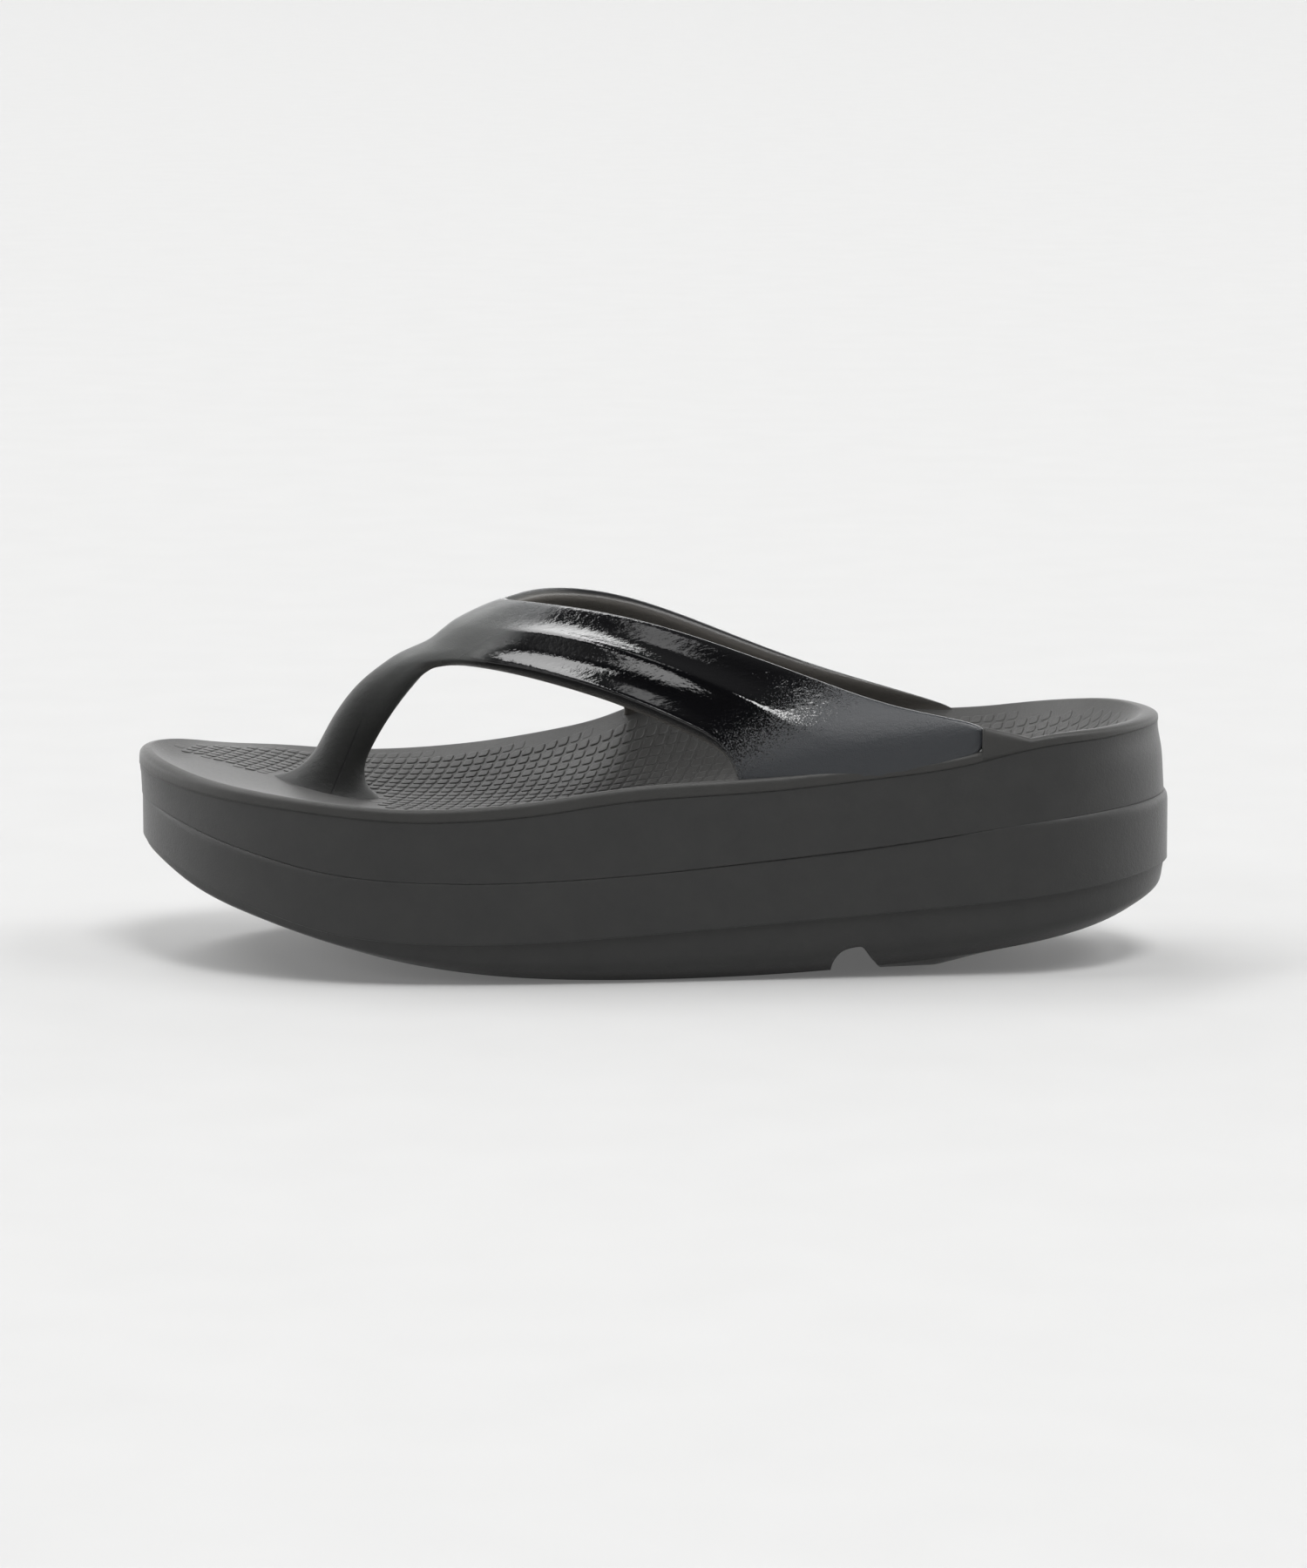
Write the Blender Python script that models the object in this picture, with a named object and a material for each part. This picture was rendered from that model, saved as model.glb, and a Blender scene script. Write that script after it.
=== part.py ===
"""A left recovery toe post sandal: four stacked foam layers under a Y strap with its toe post.

Frame: toe at -X, heel at +X, lateral side at -Y, medial side at +Y, ground at z = 0.
Sizes are in metres. The tables are written in millimetres, and table() turns them into metres.
"""

import math

import bmesh
import bpy
import numpy as np

MM = 0.001
LATERAL = -1
MEDIAL = 1

# Driving dimensions
LENGTH = 265 * MM
TOE_X = -LENGTH / 2
HEEL_X = LENGTH / 2
TOE_TIP_Y = 8 * MM
TOE_ROUND_START = {LATERAL: -57.5 * MM, MEDIAL: -82.5 * MM}
HEEL_ROUND_START = 90 * MM
GAP = 0.3 * MM

# Rim and bed
LIP = 0.5 * MM
BED_THICKNESS = 8 * MM
BED_BOWL_POWER = 2.2
SHOULDER_X = 83.0 * MM
SHOULDER_RISE = 6.2 * MM
SHOULDER_RUN = 12.4 * MM
SHOULDER_SHARE = 0.1

# Side steps, notch and strap
STEP_INSET = 1.0 * MM
NOTCH_REACH = 60 * MM
STRAP_SEAT = 1.3 * GAP

# Mesh density
CAP_STEPS = 6
BODY_ROWS = 21
SHOULDER_ROWS = (-5.0 * MM, -0.2 * MM, 0.3 * MM)
STRAP_LEVELS = 1
POST_RING_POINTS = 20


def shares(columns, *rows):
    """Named columns of plain shares."""
    return dict(zip(columns.split(), np.array(rows, float).T))


def table(columns, *rows):
    """Named columns in metres, from rows written in millimetres."""
    return {name: column * MM for name, column in shares(columns, *rows).items()}


# Half widths of the plan outline before its ends are rounded
PLAN = table(
    "x lateral medial",
    (-82.5, 50.0, 50.0),
    (-57.5, 50.0, 49.7),
    (-40.0, 49.7, 47.6),
    (-20.0, 48.4, 43.8),
    (0.0, 46.6, 40.2),
    (20.0, 44.4, 38.0),
    (40.0, 42.2, 37.2),
    (60.0, 40.2, 37.4),
    (90.0, 38.0, 38.0),
)

# Height of the rim's crest on each side, and the parting line's drop below it
RIM = table(
    "x lateral medial drop",
    (-132.5, 53.2, 53.2, 4.0),
    (-124.0, 51.5, 51.3, 4.2),
    (-116.0, 50.0, 49.5, 3.8),
    (-100.0, 48.0, 47.6, 3.2),
    (-82.0, 46.3, 46.1, 3.0),
    (-62.0, 45.1, 46.5, 3.2),
    (-44.0, 45.6, 48.5, 3.4),
    (-26.0, 47.4, 52.0, 3.6),
    (-16.0, 48.9, 54.6, 3.6),
    (-11.0, 49.6, 56.4, 3.6),
    (-5.0, 50.3, 58.8, 3.6),
    (8.0, 51.2, 60.2, 3.6),
    (30.0, 52.2, 59.6, 3.4),
    (55.0, 54.3, 58.9, 3.0),
    (80.0, 57.4, 58.9, 2.6),
    (89.0, 59.7, 59.5, 2.7),
    (98.0, 61.7, 60.5, 2.8),
    (115.0, 62.8, 62.5, 2.5),
    (125.0, 63.2, 63.4, 2.2),
    (132.5, 63.4, 63.4, 2.0),
)

# Height of the bed along the foot's middle line, and that line's sideways place
SPINE = table(
    "x y z",
    (-118.0, 7.0, 49.4),
    (-108.0, 6.0, 47.2),
    (-98.0, 5.0, 44.7),
    (-88.0, 4.0, 42.0),
    (-78.0, 3.2, 39.8),
    (-60.0, 2.0, 37.8),
    (-35.0, 0.0, 38.2),
    (-10.0, -3.0, 40.2),
    (20.0, -5.0, 43.8),
    (50.0, -3.0, 46.4),
    (94.0, 0.0, 49.4),
)

# Heights of the two step lines and of the tread's outer edge, and the height under the middle.
# A middle height below zero is ground contact: the tread is flat there.
SIDE = table(
    "x upper_step lower_step edge middle",
    (-132.5, 41.8, 31.4, 29.8, 29.4),
    (-124.0, 39.4, 28.0, 25.9, 25.4),
    (-116.0, 36.8, 24.5, 21.4, 20.8),
    (-100.0, 32.4, 18.7, 15.5, 14.8),
    (-84.0, 28.9, 14.1, 10.7, 9.8),
    (-64.0, 26.9, 11.5, 5.6, 4.5),
    (-44.0, 26.4, 10.9, 2.3, 1.2),
    (-20.0, 27.1, 11.7, 0.6, -0.5),
    (8.0, 29.2, 13.6, 0.4, -0.7),
    (36.0, 32.0, 15.6, 1.3, -0.7),
    (52.0, 33.7, 16.8, 2.4, -1.2),
    (64.0, 35.2, 17.8, 3.5, -1.0),
    (72.0, 36.3, 18.5, 4.4, 0.1),
    (84.0, 38.1, 19.6, 6.0, 3.8),
    (96.0, 39.9, 21.0, 8.2, 6.9),
    (112.0, 41.7, 23.0, 11.7, 10.9),
    (132.5, 43.4, 25.8, 18.2, 17.6),
)

# How far each layer stands inside the widest outline: the rim's crest and its parting line, the
# upper and the lower midsole where they are widest, and the tread's edge
INSETS = table(
    "x crest parting upper lower tread",
    (-132.5, 3.0, 0.0, 0.6, 0.8, 3.6),
    (-122.0, 2.8, 0.3, 0.6, 0.3, 4.6),
    (-95.0, 2.6, 0.8, 0.3, 0.0, 6.0),
    (0.0, 2.5, 1.2, 0.1, 0.0, 7.2),
    (80.0, 2.9, 1.5, 0.1, 0.0, 7.0),
    (112.0, 4.6, 2.0, 0.5, 0.0, 6.6),
    (132.5, 7.0, 2.8, 0.9, 0.1, 6.4),
)

# Wall rows of each layer from top to bottom. The outsole's inset is a share of the way to the
# tread's edge, the lower midsole's is in steps, the upper midsole's runs from its lip to its widest.
OUTSOLE_WALL = shares("down inset", (0.0, 0.21), (0.4, 0.26), (0.75, 0.45))
LOWER_WALL = shares(
    "down inset", (0.0, 1.4), (0.12, 0.6), (0.35, 0.1), (0.65, 0.0), (0.9, 0.3), (1.0, 1.0)
)
UPPER_WALL = shares("down flare", (0.08, 0.0), (0.35, 0.5), (0.65, 0.8), (0.88, 1.0))

# Rings of the tread: share of the way from its edge to the spine, share of the edge's lift left
TREAD = shares("inward crown", (0.0, 1.0), (0.14, 0.55), (0.4, 0.14), (0.72, 0.0))

# Rings of the bed, its underside and the flat seats, as shares of the way from wall to spine
BED_SHARES = (1, 0.72, 0.5, 0.32, 0.18, 0.07, 0)
UNDER_SHARES = (0.3, 0.65, 1)
SEAT_SHARES = (0, 0.5, 1)
# Rows of the rounded rim between crest and parting line
RIM_ROUND = shares("across down", (0.5, 0.07), (0.08, 0.36))

# Flex notch across the tread, side profile from its front foot to its back foot
NOTCH = table(
    "x z",
    (44.7, -4.0),
    (45.0, 2.0),
    (45.9, 5.2),
    (47.6, 7.3),
    (50.0, 8.3),
    (52.2, 8.6),
    (53.5, 7.8),
    (55.2, 5.2),
    (57.4, 2.0),
    (60.4, -4.0),
)

# Strap sections from the toe post outwards: throat edge, front edge, fullness, the middle ridge's
# height and its distance from the front edge, wall
STRAP_COLUMNS = "top_x top_y top_z low_x low_y low_z fullness ridge ridge_in wall"
STRAP_CENTRE = (-38.0, 10.5, 91.1, -61.0, 9.5, 78.0, 2.3, 0.8, 11.5, 5.0)
STRAP = {
    LATERAL: table(
        STRAP_COLUMNS,
        STRAP_CENTRE,
        (-33.5, 6.6, 91.0, -53.5, 5.0, 75.4, 2.1, 1.6, 12.6, 5.0),
        (-25.0, 3.4, 90.4, -43.5, 1.6, 75.2, 2.2, 1.7, 12.2, 5.0),
        (-10.0, -4.0, 88.8, -26.5, -11.6, 73.6, 2.2, 1.6, 11.8, 5.0),
        (9.0, -13.5, 85.0, -9.0, -24.6, 70.4, 2.2, 1.5, 12.0, 5.0),
        (28.0, -21.6, 79.4, 5.5, -33.0, 65.4, 2.0, 1.3, 13.5, 5.0),
        (46.0, -27.2, 73.8, 14.5, -37.0, 61.8, 1.8, 0.9, 15.5, 5.0),
        (64.0, -31.8, 68.6, 19.3, -39.8, 57.5, 1.6, 0.5, 21.0, 5.0),
        (82.5, -34.8, 64.2, 21.0, -41.0, 52.0, 1.4, 0.0, 32.0, 5.0),
        (82.5, -35.0, 54.0, 21.2, -41.2, 45.0, 1.4, 0.0, 32.0, 5.0),
    ),
    MEDIAL: table(
        STRAP_COLUMNS,
        STRAP_CENTRE,
        (-35.0, 15.0, 91.8, -53.5, 14.0, 75.4, 2.1, 1.6, 12.6, 5.0),
        (-30.0, 18.6, 92.7, -45.5, 19.5, 75.0, 2.2, 1.7, 12.2, 5.0),
        (-19.0, 22.6, 92.3, -34.5, 27.4, 73.0, 2.2, 1.6, 11.8, 5.0),
        (-4.0, 26.5, 89.1, -23.0, 34.0, 69.6, 2.2, 1.5, 12.0, 5.0),
        (13.0, 29.7, 82.6, -13.5, 37.4, 65.4, 2.0, 1.3, 13.5, 5.0),
        (31.0, 32.2, 75.2, -7.8, 39.2, 61.2, 1.8, 0.9, 15.5, 5.0),
        (50.0, 33.6, 68.4, -7.4, 39.6, 57.6, 1.6, 0.5, 21.0, 5.0),
        (75.0, 34.2, 60.4, -8.0, 39.8, 54.0, 1.4, 0.0, 32.0, 5.0),
        (76.0, 34.2, 54.0, -9.0, 39.8, 49.5, 1.4, 0.0, 32.0, 5.0),
    ),
}
# Section places on one arm: at the toe post's root, along the arm, and at its tail
ROOT_STATIONS = (0.5, 1.0)
ARM_STATIONS = np.linspace(1.7, 7.6, 9)
TAIL_STATIONS = (7.92, 8.0, 9.0)

# Strap profile, outer face from front edge to throat edge and back along the inner face
PROFILE_RIDGE = 0.61
PROFILE = shares(
    "width ridge wall",
    (0.000, 0.0, -0.30),
    (0.022, 0.2, -0.02),
    (0.120, 0.5, 0.00),
    (0.270, -0.3, 0.00),
    (0.430, -0.4, 0.00),
    (0.560, 0.7, 0.00),
    (PROFILE_RIDGE, 1.0, 0.00),
    (0.660, 0.5, 0.00),
    (0.780, -0.3, 0.00),
    (0.900, 0.3, 0.00),
    (0.982, 0.6, -0.04),
    (1.000, 0.0, -0.32),
    (0.990, 0.0, -0.82),
    (0.860, 0.0, -0.98),
    (0.620, 0.0, -1.00),
    (0.360, 0.0, -1.00),
    (0.120, 0.0, -0.98),
    (0.015, 0.0, -0.80),
)
# The profile points over the front edge that the toe post grows from, outside to inside
POST_ROOT_PROFILE = (3, 2, 1, 0, 17, 16, 15)

# Toe post rings from under the strap down into the bed: front point, back point, half width, and how
# far the sides hang below the line from front to back
POST_Y = 9.5 * MM
POST = table(
    "front_x front_z back_x back_z width sag",
    (-65.3, 77.2, -59.5, 70.8, 5.2, 0.0),
    (-69.8, 74.0, -63.0, 66.8, 4.8, 0.0),
    (-75.4, 69.8, -66.6, 62.0, 4.6, 0.0),
    (-80.0, 64.4, -69.6, 57.4, 4.6, 0.0),
    (-83.9, 58.2, -72.4, 52.4, 4.7, 0.0),
    (-86.5, 52.8, -74.2, 48.6, 4.9, 0.0),
    (-89.0, 49.2, -74.6, 45.2, 5.3, 0.3),
    (-92.4, 46.6, -73.9, 42.6, 5.7, 0.9),
    (-96.0, 45.4, -72.4, 40.9, 6.3, 1.2),
    (-97.5, 40.0, -71.5, 36.0, 7.0, 0.0),
)


def spline(xs, ys):
    """Natural cubic curve through the points, held level outside them."""
    step = np.diff(xs)
    system = np.eye(len(xs))
    right = np.zeros(len(xs))
    slope = np.diff(ys) / step
    for i in range(1, len(xs) - 1):
        system[i, i - 1 : i + 2] = step[i - 1], 2 * (step[i - 1] + step[i]), step[i]
        right[i] = 6 * (slope[i] - slope[i - 1])
    bend = np.linalg.solve(system, right)

    def at(x):
        x = np.clip(x, xs[0], xs[-1])
        i = np.clip(np.searchsorted(xs, x) - 1, 0, len(xs) - 2)
        before = x - xs[i]
        after = xs[i + 1] - x
        cubic = (bend[i] * after**3 + bend[i + 1] * before**3) / (6 * step[i])
        left = (ys[i] / step[i] - bend[i] * step[i] / 6) * after
        return cubic + left + (ys[i + 1] / step[i] - bend[i + 1] * step[i] / 6) * before

    return at


HALF_WIDTH = {LATERAL: spline(PLAN["x"], PLAN["lateral"]), MEDIAL: spline(PLAN["x"], PLAN["medial"])}
RIM_Z = {LATERAL: spline(RIM["x"], RIM["lateral"]), MEDIAL: spline(RIM["x"], RIM["medial"])}
PARTING_DROP = spline(RIM["x"], RIM["drop"])
SPINE_Y = spline(SPINE["x"], SPINE["y"])
SPINE_Z = spline(SPINE["x"], SPINE["z"])
UPPER_STEP = spline(SIDE["x"], SIDE["upper_step"])
LOWER_STEP = spline(SIDE["x"], SIDE["lower_step"])
TREAD_EDGE = spline(SIDE["x"], SIDE["edge"])
TREAD_MIDDLE = spline(SIDE["x"], SIDE["middle"])


def outline_y(side, x):
    """Plan outline at x on one side: the half width, rounded by quarter ellipses at toe and heel."""
    toe = np.clip((x - TOE_ROUND_START[side]) / (TOE_X - TOE_ROUND_START[side]), 0, 1)
    heel = np.clip((x - HEEL_ROUND_START) / (HEEL_X - HEEL_ROUND_START), 0, 1)
    y = side * HALF_WIDTH[side](x)
    y = TOE_TIP_Y + (y - TOE_TIP_Y) * np.sqrt(1 - toe**2)
    return y * np.sqrt(1 - heel**2)


def cap_x(start, end, body_end):
    """Outline x values from the body's last row to the tip, at even angles of the end's ellipse."""
    first = math.asin(max(0.0, (body_end - start) / (end - start)))
    angles = np.linspace(first, math.pi / 2, CAP_STEPS + 1)[1:]
    return start + (end - start) * np.sin(angles)


class Plan:
    """The outline's points, anticlockwise from the toe tip, and the spine point that each one faces."""

    def __init__(self):
        shoulder = SHOULDER_X + np.array(SHOULDER_ROWS)
        rows = np.linspace(SPINE["x"][0], shoulder[0], BODY_ROWS)
        body = np.concatenate((rows, shoulder[1:], SPINE["x"][-1:]))
        self.spine = np.stack((body, SPINE_Y(body)), axis=1)
        x, y, row, side_of = [], [], [], []
        for side in (LATERAL, MEDIAL):
            toe = cap_x(TOE_ROUND_START[side], TOE_X, body[0])[::-1]
            heel = cap_x(HEEL_ROUND_START, HEEL_X, body[-1])
            run = np.concatenate((toe, body, heel))
            rank = np.clip(np.arange(len(run)) - CAP_STEPS, 0, len(body) - 1)
            if side == MEDIAL:
                run = run[-2:0:-1]
                rank = rank[-2:0:-1]
            x.extend(run)
            y.extend(outline_y(side, run))
            row.extend(rank)
            side_of.extend([side] * len(run))
        self.points = np.stack((x, y), axis=1)
        self.row = np.array(row)
        self.lateral = np.array(side_of) == LATERAL
        along = np.roll(self.points, -1, axis=0) - np.roll(self.points, 1, axis=0)
        along /= np.linalg.norm(along, axis=1)[:, None]
        self.outward = np.stack((along[:, 1], -along[:, 0]), axis=1)

    def inset(self, column):
        """One column of the insets at each outline point."""
        return spline(INSETS["x"], INSETS[column])(self.points[:, 0])

    def rim_z(self):
        """Crest height at each outline point, without the lateral shoulder behind the strap."""
        x = self.points[:, 0]
        return np.where(self.lateral, RIM_Z[LATERAL](x), RIM_Z[MEDIAL](x))

    def parting_z(self):
        """Height of the parting line at each outline point."""
        return self.rim_z() - PARTING_DROP(self.points[:, 0])

    def crest_z(self):
        """Crest height at each outline point, shoulder included."""
        back = (self.points[:, 0] - SHOULDER_X) / SHOULDER_RUN
        rise = SHOULDER_RISE * np.clip(1 - back, 0, 1)
        return self.rim_z() + np.where(self.lateral & (back >= 0), rise, 0)

    def ring(self, inset, share=0.0):
        """Outline points moved inwards by inset, then by a share of the way to the spine."""
        moved = self.points - np.reshape(inset, (-1, 1)) * self.outward
        return moved + share * (self.spine[self.row] - moved)


PLAN_POINTS = Plan()


def raised(xy, z):
    """Plan points with their heights."""
    return np.column_stack((xy, np.broadcast_to(z, len(xy))))


def level(height, offset, inset, share=0.0):
    """A ring, or the spine where share is 1, at a height that depends on x alone."""
    xy = PLAN_POINTS.spine if share == 1 else PLAN_POINTS.ring(inset, share)
    return raised(xy, height(xy[:, 0]) + offset)


def seat_rings(height, offset, inset):
    """A layer's seat on its neighbour, from the wall to the spine."""
    return [level(height, offset, inset, share) for share in SEAT_SHARES]


def bed_ring(share, edge_z, offset=0.0):
    """A ring of the dished bed, from the crest (share 0) to the spine (share 1)."""
    if share == 1:
        return raised(PLAN_POINTS.spine, SPINE_Z(PLAN_POINTS.spine[:, 0]) + offset)
    low = SPINE_Z(PLAN_POINTS.spine[PLAN_POINTS.row, 0])
    bowl = (1 - share) ** BED_BOWL_POWER
    return raised(PLAN_POINTS.ring(PLAN_POINTS.inset("crest"), share), low + (edge_z - low) * bowl + offset)


def parting_ring(drop=0.0, grow=0.0):
    """The rim's parting line on the wall."""
    inset = PLAN_POINTS.inset("parting") - grow
    return raised(PLAN_POINTS.ring(inset), PLAN_POINTS.parting_z() - drop)


def rim_rings(offset=0.0):
    """Bed surface from the spine up to the crest and over the rounded rim to the parting line."""
    crest = PLAN_POINTS.crest_z()
    rim = PLAN_POINTS.rim_z()
    rings = []
    for share in BED_SHARES:
        rings.append(bed_ring(share, crest if share <= SHOULDER_SHARE else rim, offset))
    parting = PLAN_POINTS.inset("parting")
    roll = PLAN_POINTS.inset("crest") - parting
    drop = PLAN_POINTS.parting_z() - crest
    for across, down in zip(RIM_ROUND["across"], RIM_ROUND["down"]):
        inset = parting + across * roll - offset
        rings.append(raised(PLAN_POINTS.ring(inset), crest + down * drop + offset))
    return rings


def under_bed_rings(offset=0.0):
    """The bed's underside, from the parting line down to a full thickness under the spine."""
    edge_z = PLAN_POINTS.rim_z()
    rings = [bed_ring(share, edge_z, offset - BED_THICKNESS) for share in UNDER_SHARES]
    return [parting_ring(-offset)] + rings


def wall_ring(top_z, bottom_z, down, inset):
    """A wall row a share of the way down between two heights at the outline's points."""
    return raised(PLAN_POINTS.ring(inset), top_z + down * (bottom_z - top_z))


def shell_mesh(name, rings):
    """Closed mesh through rings that run from a top spine over the wall to a bottom spine.

    Each four-sided face starts at its shorter diagonal, so that two layers fold alike where they meet.
    """
    points = np.concatenate(rings)
    starts = np.cumsum([0] + [len(ring) for ring in rings[:-1]])
    count = len(PLAN_POINTS.points)
    ids = []
    for start, ring in zip(starts, rings):
        ids.append(start + (np.arange(count) if len(ring) == count else PLAN_POINTS.row))
    faces = []
    for upper, lower in zip(ids, ids[1:]):
        for k in range(count):
            after = (k + 1) % count
            corners = [lower[k], lower[after], upper[after], upper[k]]
            sides = points[corners]
            if np.linalg.norm(sides[0] - sides[2]) > np.linalg.norm(sides[1] - sides[3]):
                corners = corners[1:] + corners[:1]
            face = list(dict.fromkeys(int(corner) for corner in corners))
            if len(face) > 2:
                faces.append(face)
    mesh = bpy.data.meshes.new(name)
    mesh.from_pydata(points.tolist(), [], faces)
    mesh.shade_smooth()
    return mesh


def add_object(name, mesh, material):
    """Puts a mesh in the scene under its node name."""
    obj = bpy.data.objects.new(name, mesh)
    bpy.context.scene.collection.objects.link(obj)
    mesh.materials.append(material)
    return obj


def add_cutter(name, mesh, target):
    """Cuts a hidden helper shape out of the target."""
    cutter = bpy.data.objects.new(name, mesh)
    bpy.context.scene.collection.objects.link(cutter)
    cutter.hide_render = True
    cutter.display_type = "WIRE"
    cut = target.modifiers.new(name, "BOOLEAN")
    cut.operation = "DIFFERENCE"
    cut.object = cutter


def plain_material(name, colour, roughness):
    """An opaque, non-metallic finish."""
    material = bpy.data.materials.new(name)
    material.use_nodes = True
    shader = material.node_tree.nodes["Principled BSDF"]
    shader.inputs["Base Color"].default_value = (*colour, 1.0)
    shader.inputs["Roughness"].default_value = roughness
    shader.inputs["Metallic"].default_value = 0.0
    return material


def tread_floor(x):
    """Height of the tread's middle, flat on the ground between forefoot and heel."""
    return np.maximum(TREAD_MIDDLE(x), 0)


def tread_ring(inward, crown):
    """A ring of the tread: crown is the share of the edge's lift over the middle that is left."""
    xy = PLAN_POINTS.ring(PLAN_POINTS.inset("tread"), inward)
    x = xy[:, 0]
    return raised(xy, tread_floor(x) + crown * (TREAD_EDGE(x) - tread_floor(x)))


def notch_mesh():
    """Prism of the flex notch, wider than the sole."""
    profile = list(zip(NOTCH["x"], NOTCH["z"]))
    count = len(profile)
    points = [(x, y, z) for y in (-NOTCH_REACH, NOTCH_REACH) for x, z in profile]
    faces = [list(range(count - 1, -1, -1)), list(range(count, 2 * count))]
    for k in range(count):
        after = (k + 1) % count
        faces.append([k, after, after + count, k + count])
    mesh = bpy.data.meshes.new("notch_cutter")
    mesh.from_pydata(points, [], faces)
    return mesh


def build_outsole(material):
    """Ground layer: rounded lower edge, toe spring, crowned heel, flex notch."""
    seat = -GAP / 2
    x = PLAN_POINTS.points[:, 0]
    widest = PLAN_POINTS.inset("lower")
    run = PLAN_POINTS.inset("tread") - widest
    insets = [widest + share * run for share in OUTSOLE_WALL["inset"]]
    rings = seat_rings(LOWER_STEP, seat, insets[0])[::-1]
    for down, inset in zip(OUTSOLE_WALL["down"][1:], insets[1:]):
        rings.append(wall_ring(LOWER_STEP(x) + seat, TREAD_EDGE(x), down, inset))
    rings += [tread_ring(inward, crown) for inward, crown in zip(TREAD["inward"], TREAD["crown"])]
    rings.append(level(tread_floor, 0, 0, 1))
    outsole = add_object("outsole", shell_mesh("outsole", rings), material)
    add_cutter("notch_cutter", notch_mesh(), outsole)


def build_midsole_lower(material):
    """Middle layer between the two step lines, its wall slightly full."""
    rise = GAP / 2
    x = PLAN_POINTS.points[:, 0]
    insets = [PLAN_POINTS.inset("lower") + share * STEP_INSET for share in LOWER_WALL["inset"]]
    rings = seat_rings(UPPER_STEP, -rise, insets[0])[::-1]
    for down, inset in zip(LOWER_WALL["down"][1:-1], insets[1:-1]):
        rings.append(wall_ring(UPPER_STEP(x), LOWER_STEP(x), down, inset))
    rings += seat_rings(LOWER_STEP, rise, insets[-1])
    add_object("midsole_lower", shell_mesh("midsole_lower", rings), material)


def build_midsole_upper(material):
    """Upper layer: carries the bed, flares a little from the rim's lip to its lower edge."""
    x = PLAN_POINTS.points[:, 0]
    widest = PLAN_POINTS.inset("upper")
    lip = PLAN_POINTS.inset("parting") + LIP
    top = PLAN_POINTS.parting_z() - GAP
    rings = under_bed_rings(-GAP)[::-1]
    for down, flare in zip(UPPER_WALL["down"], UPPER_WALL["flare"]):
        rings.append(wall_ring(top, UPPER_STEP(x), down, lip + flare * (widest - lip)))
    rings += seat_rings(UPPER_STEP, GAP / 2, widest + STEP_INSET)
    add_object("midsole_upper", shell_mesh("midsole_upper", rings), material)


def build_footbed(material):
    """Dished bed with its rounded rim, arch, heel cup and the shoulder behind the lateral strap."""
    add_object("footbed", shell_mesh("footbed", rim_rings() + under_bed_rings()), material)


def strap_stations():
    """Section places from the lateral tail over the toe post (0) to the medial tail."""
    arm = np.concatenate((ROOT_STATIONS, ARM_STATIONS, TAIL_STATIONS))
    return np.concatenate((-arm[::-1], (0.0,), arm))


def strap_values(stations):
    """Each strap column at the stations."""
    last = len(STRAP[LATERAL]["wall"]) - 1
    rows = np.arange(-last, last + 1.0)
    values = {}
    for column in STRAP_COLUMNS.split():
        joined = np.concatenate((STRAP[LATERAL][column][:0:-1], STRAP[MEDIAL][column]))
        values[column] = spline(rows, joined)(stations)
    return values


def strap_sections():
    """Strap points as an array of sections by profile points."""
    values = strap_values(strap_stations())
    top = np.stack([values["top_" + axis] for axis in "xyz"], axis=1)
    low = np.stack([values["low_" + axis] for axis in "xyz"], axis=1)
    chord = top - low
    outward = np.cross(chord, np.gradient((top + low) / 2, axis=0))
    outward /= np.linalg.norm(outward, axis=1)[:, None]
    ridge_share = values["ridge_in"] / np.linalg.norm(chord, axis=1)
    along = PROFILE["width"][None, :] ** (np.log(ridge_share) / math.log(PROFILE_RIDGE))[:, None]
    height = np.outer(values["ridge"], PROFILE["ridge"]) + np.outer(values["wall"], PROFILE["wall"])
    height += values["fullness"][:, None] * 4 * along * (1 - along)
    spread = along[:, :, None] * chord[:, None, :]
    return low[:, None, :] + spread + height[:, :, None] * outward[:, None, :]


def post_rings():
    """Toe post rings, each starting at its front lateral corner and turning to the medial side."""
    front = np.stack((POST["front_x"], np.full_like(POST["front_x"], POST_Y), POST["front_z"]), axis=1)
    back = np.stack((POST["back_x"], np.full_like(POST["back_x"], POST_Y), POST["back_z"]), axis=1)
    across = np.outer(POST["width"], (0.0, 1.0, 0.0))
    turn = (2 * np.arange(POST_RING_POINTS) - 2 * len(ROOT_STATIONS)) * math.pi / POST_RING_POINTS
    forward = np.cos(turn)[None, :, None] * (front - back)[:, None, :] / 2
    sideways = np.sin(turn)[None, :, None] * across[:, None, :]
    sag = np.abs(np.sin(turn))[None, :, None] * np.outer(POST["sag"], (0.0, 0.0, 1.0))[:, None, :]
    return (front + back)[:, None, :] / 2 + forward + sideways - sag


def post_root(width):
    """The sections that the toe post grows from, and the loop of strap points around its root."""
    middle = len(strap_stations()) // 2
    reach = len(ROOT_STATIONS)
    root = list(range(middle - reach, middle + reach + 1))
    loop = [section * width + POST_ROOT_PROFILE[0] for section in root[:-1]]
    loop += [root[-1] * width + point for point in POST_ROOT_PROFILE[:-1]]
    loop += [section * width + POST_ROOT_PROFILE[-1] for section in root[:0:-1]]
    loop += [root[0] * width + point for point in POST_ROOT_PROFILE[:0:-1]]
    return root, loop


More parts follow.
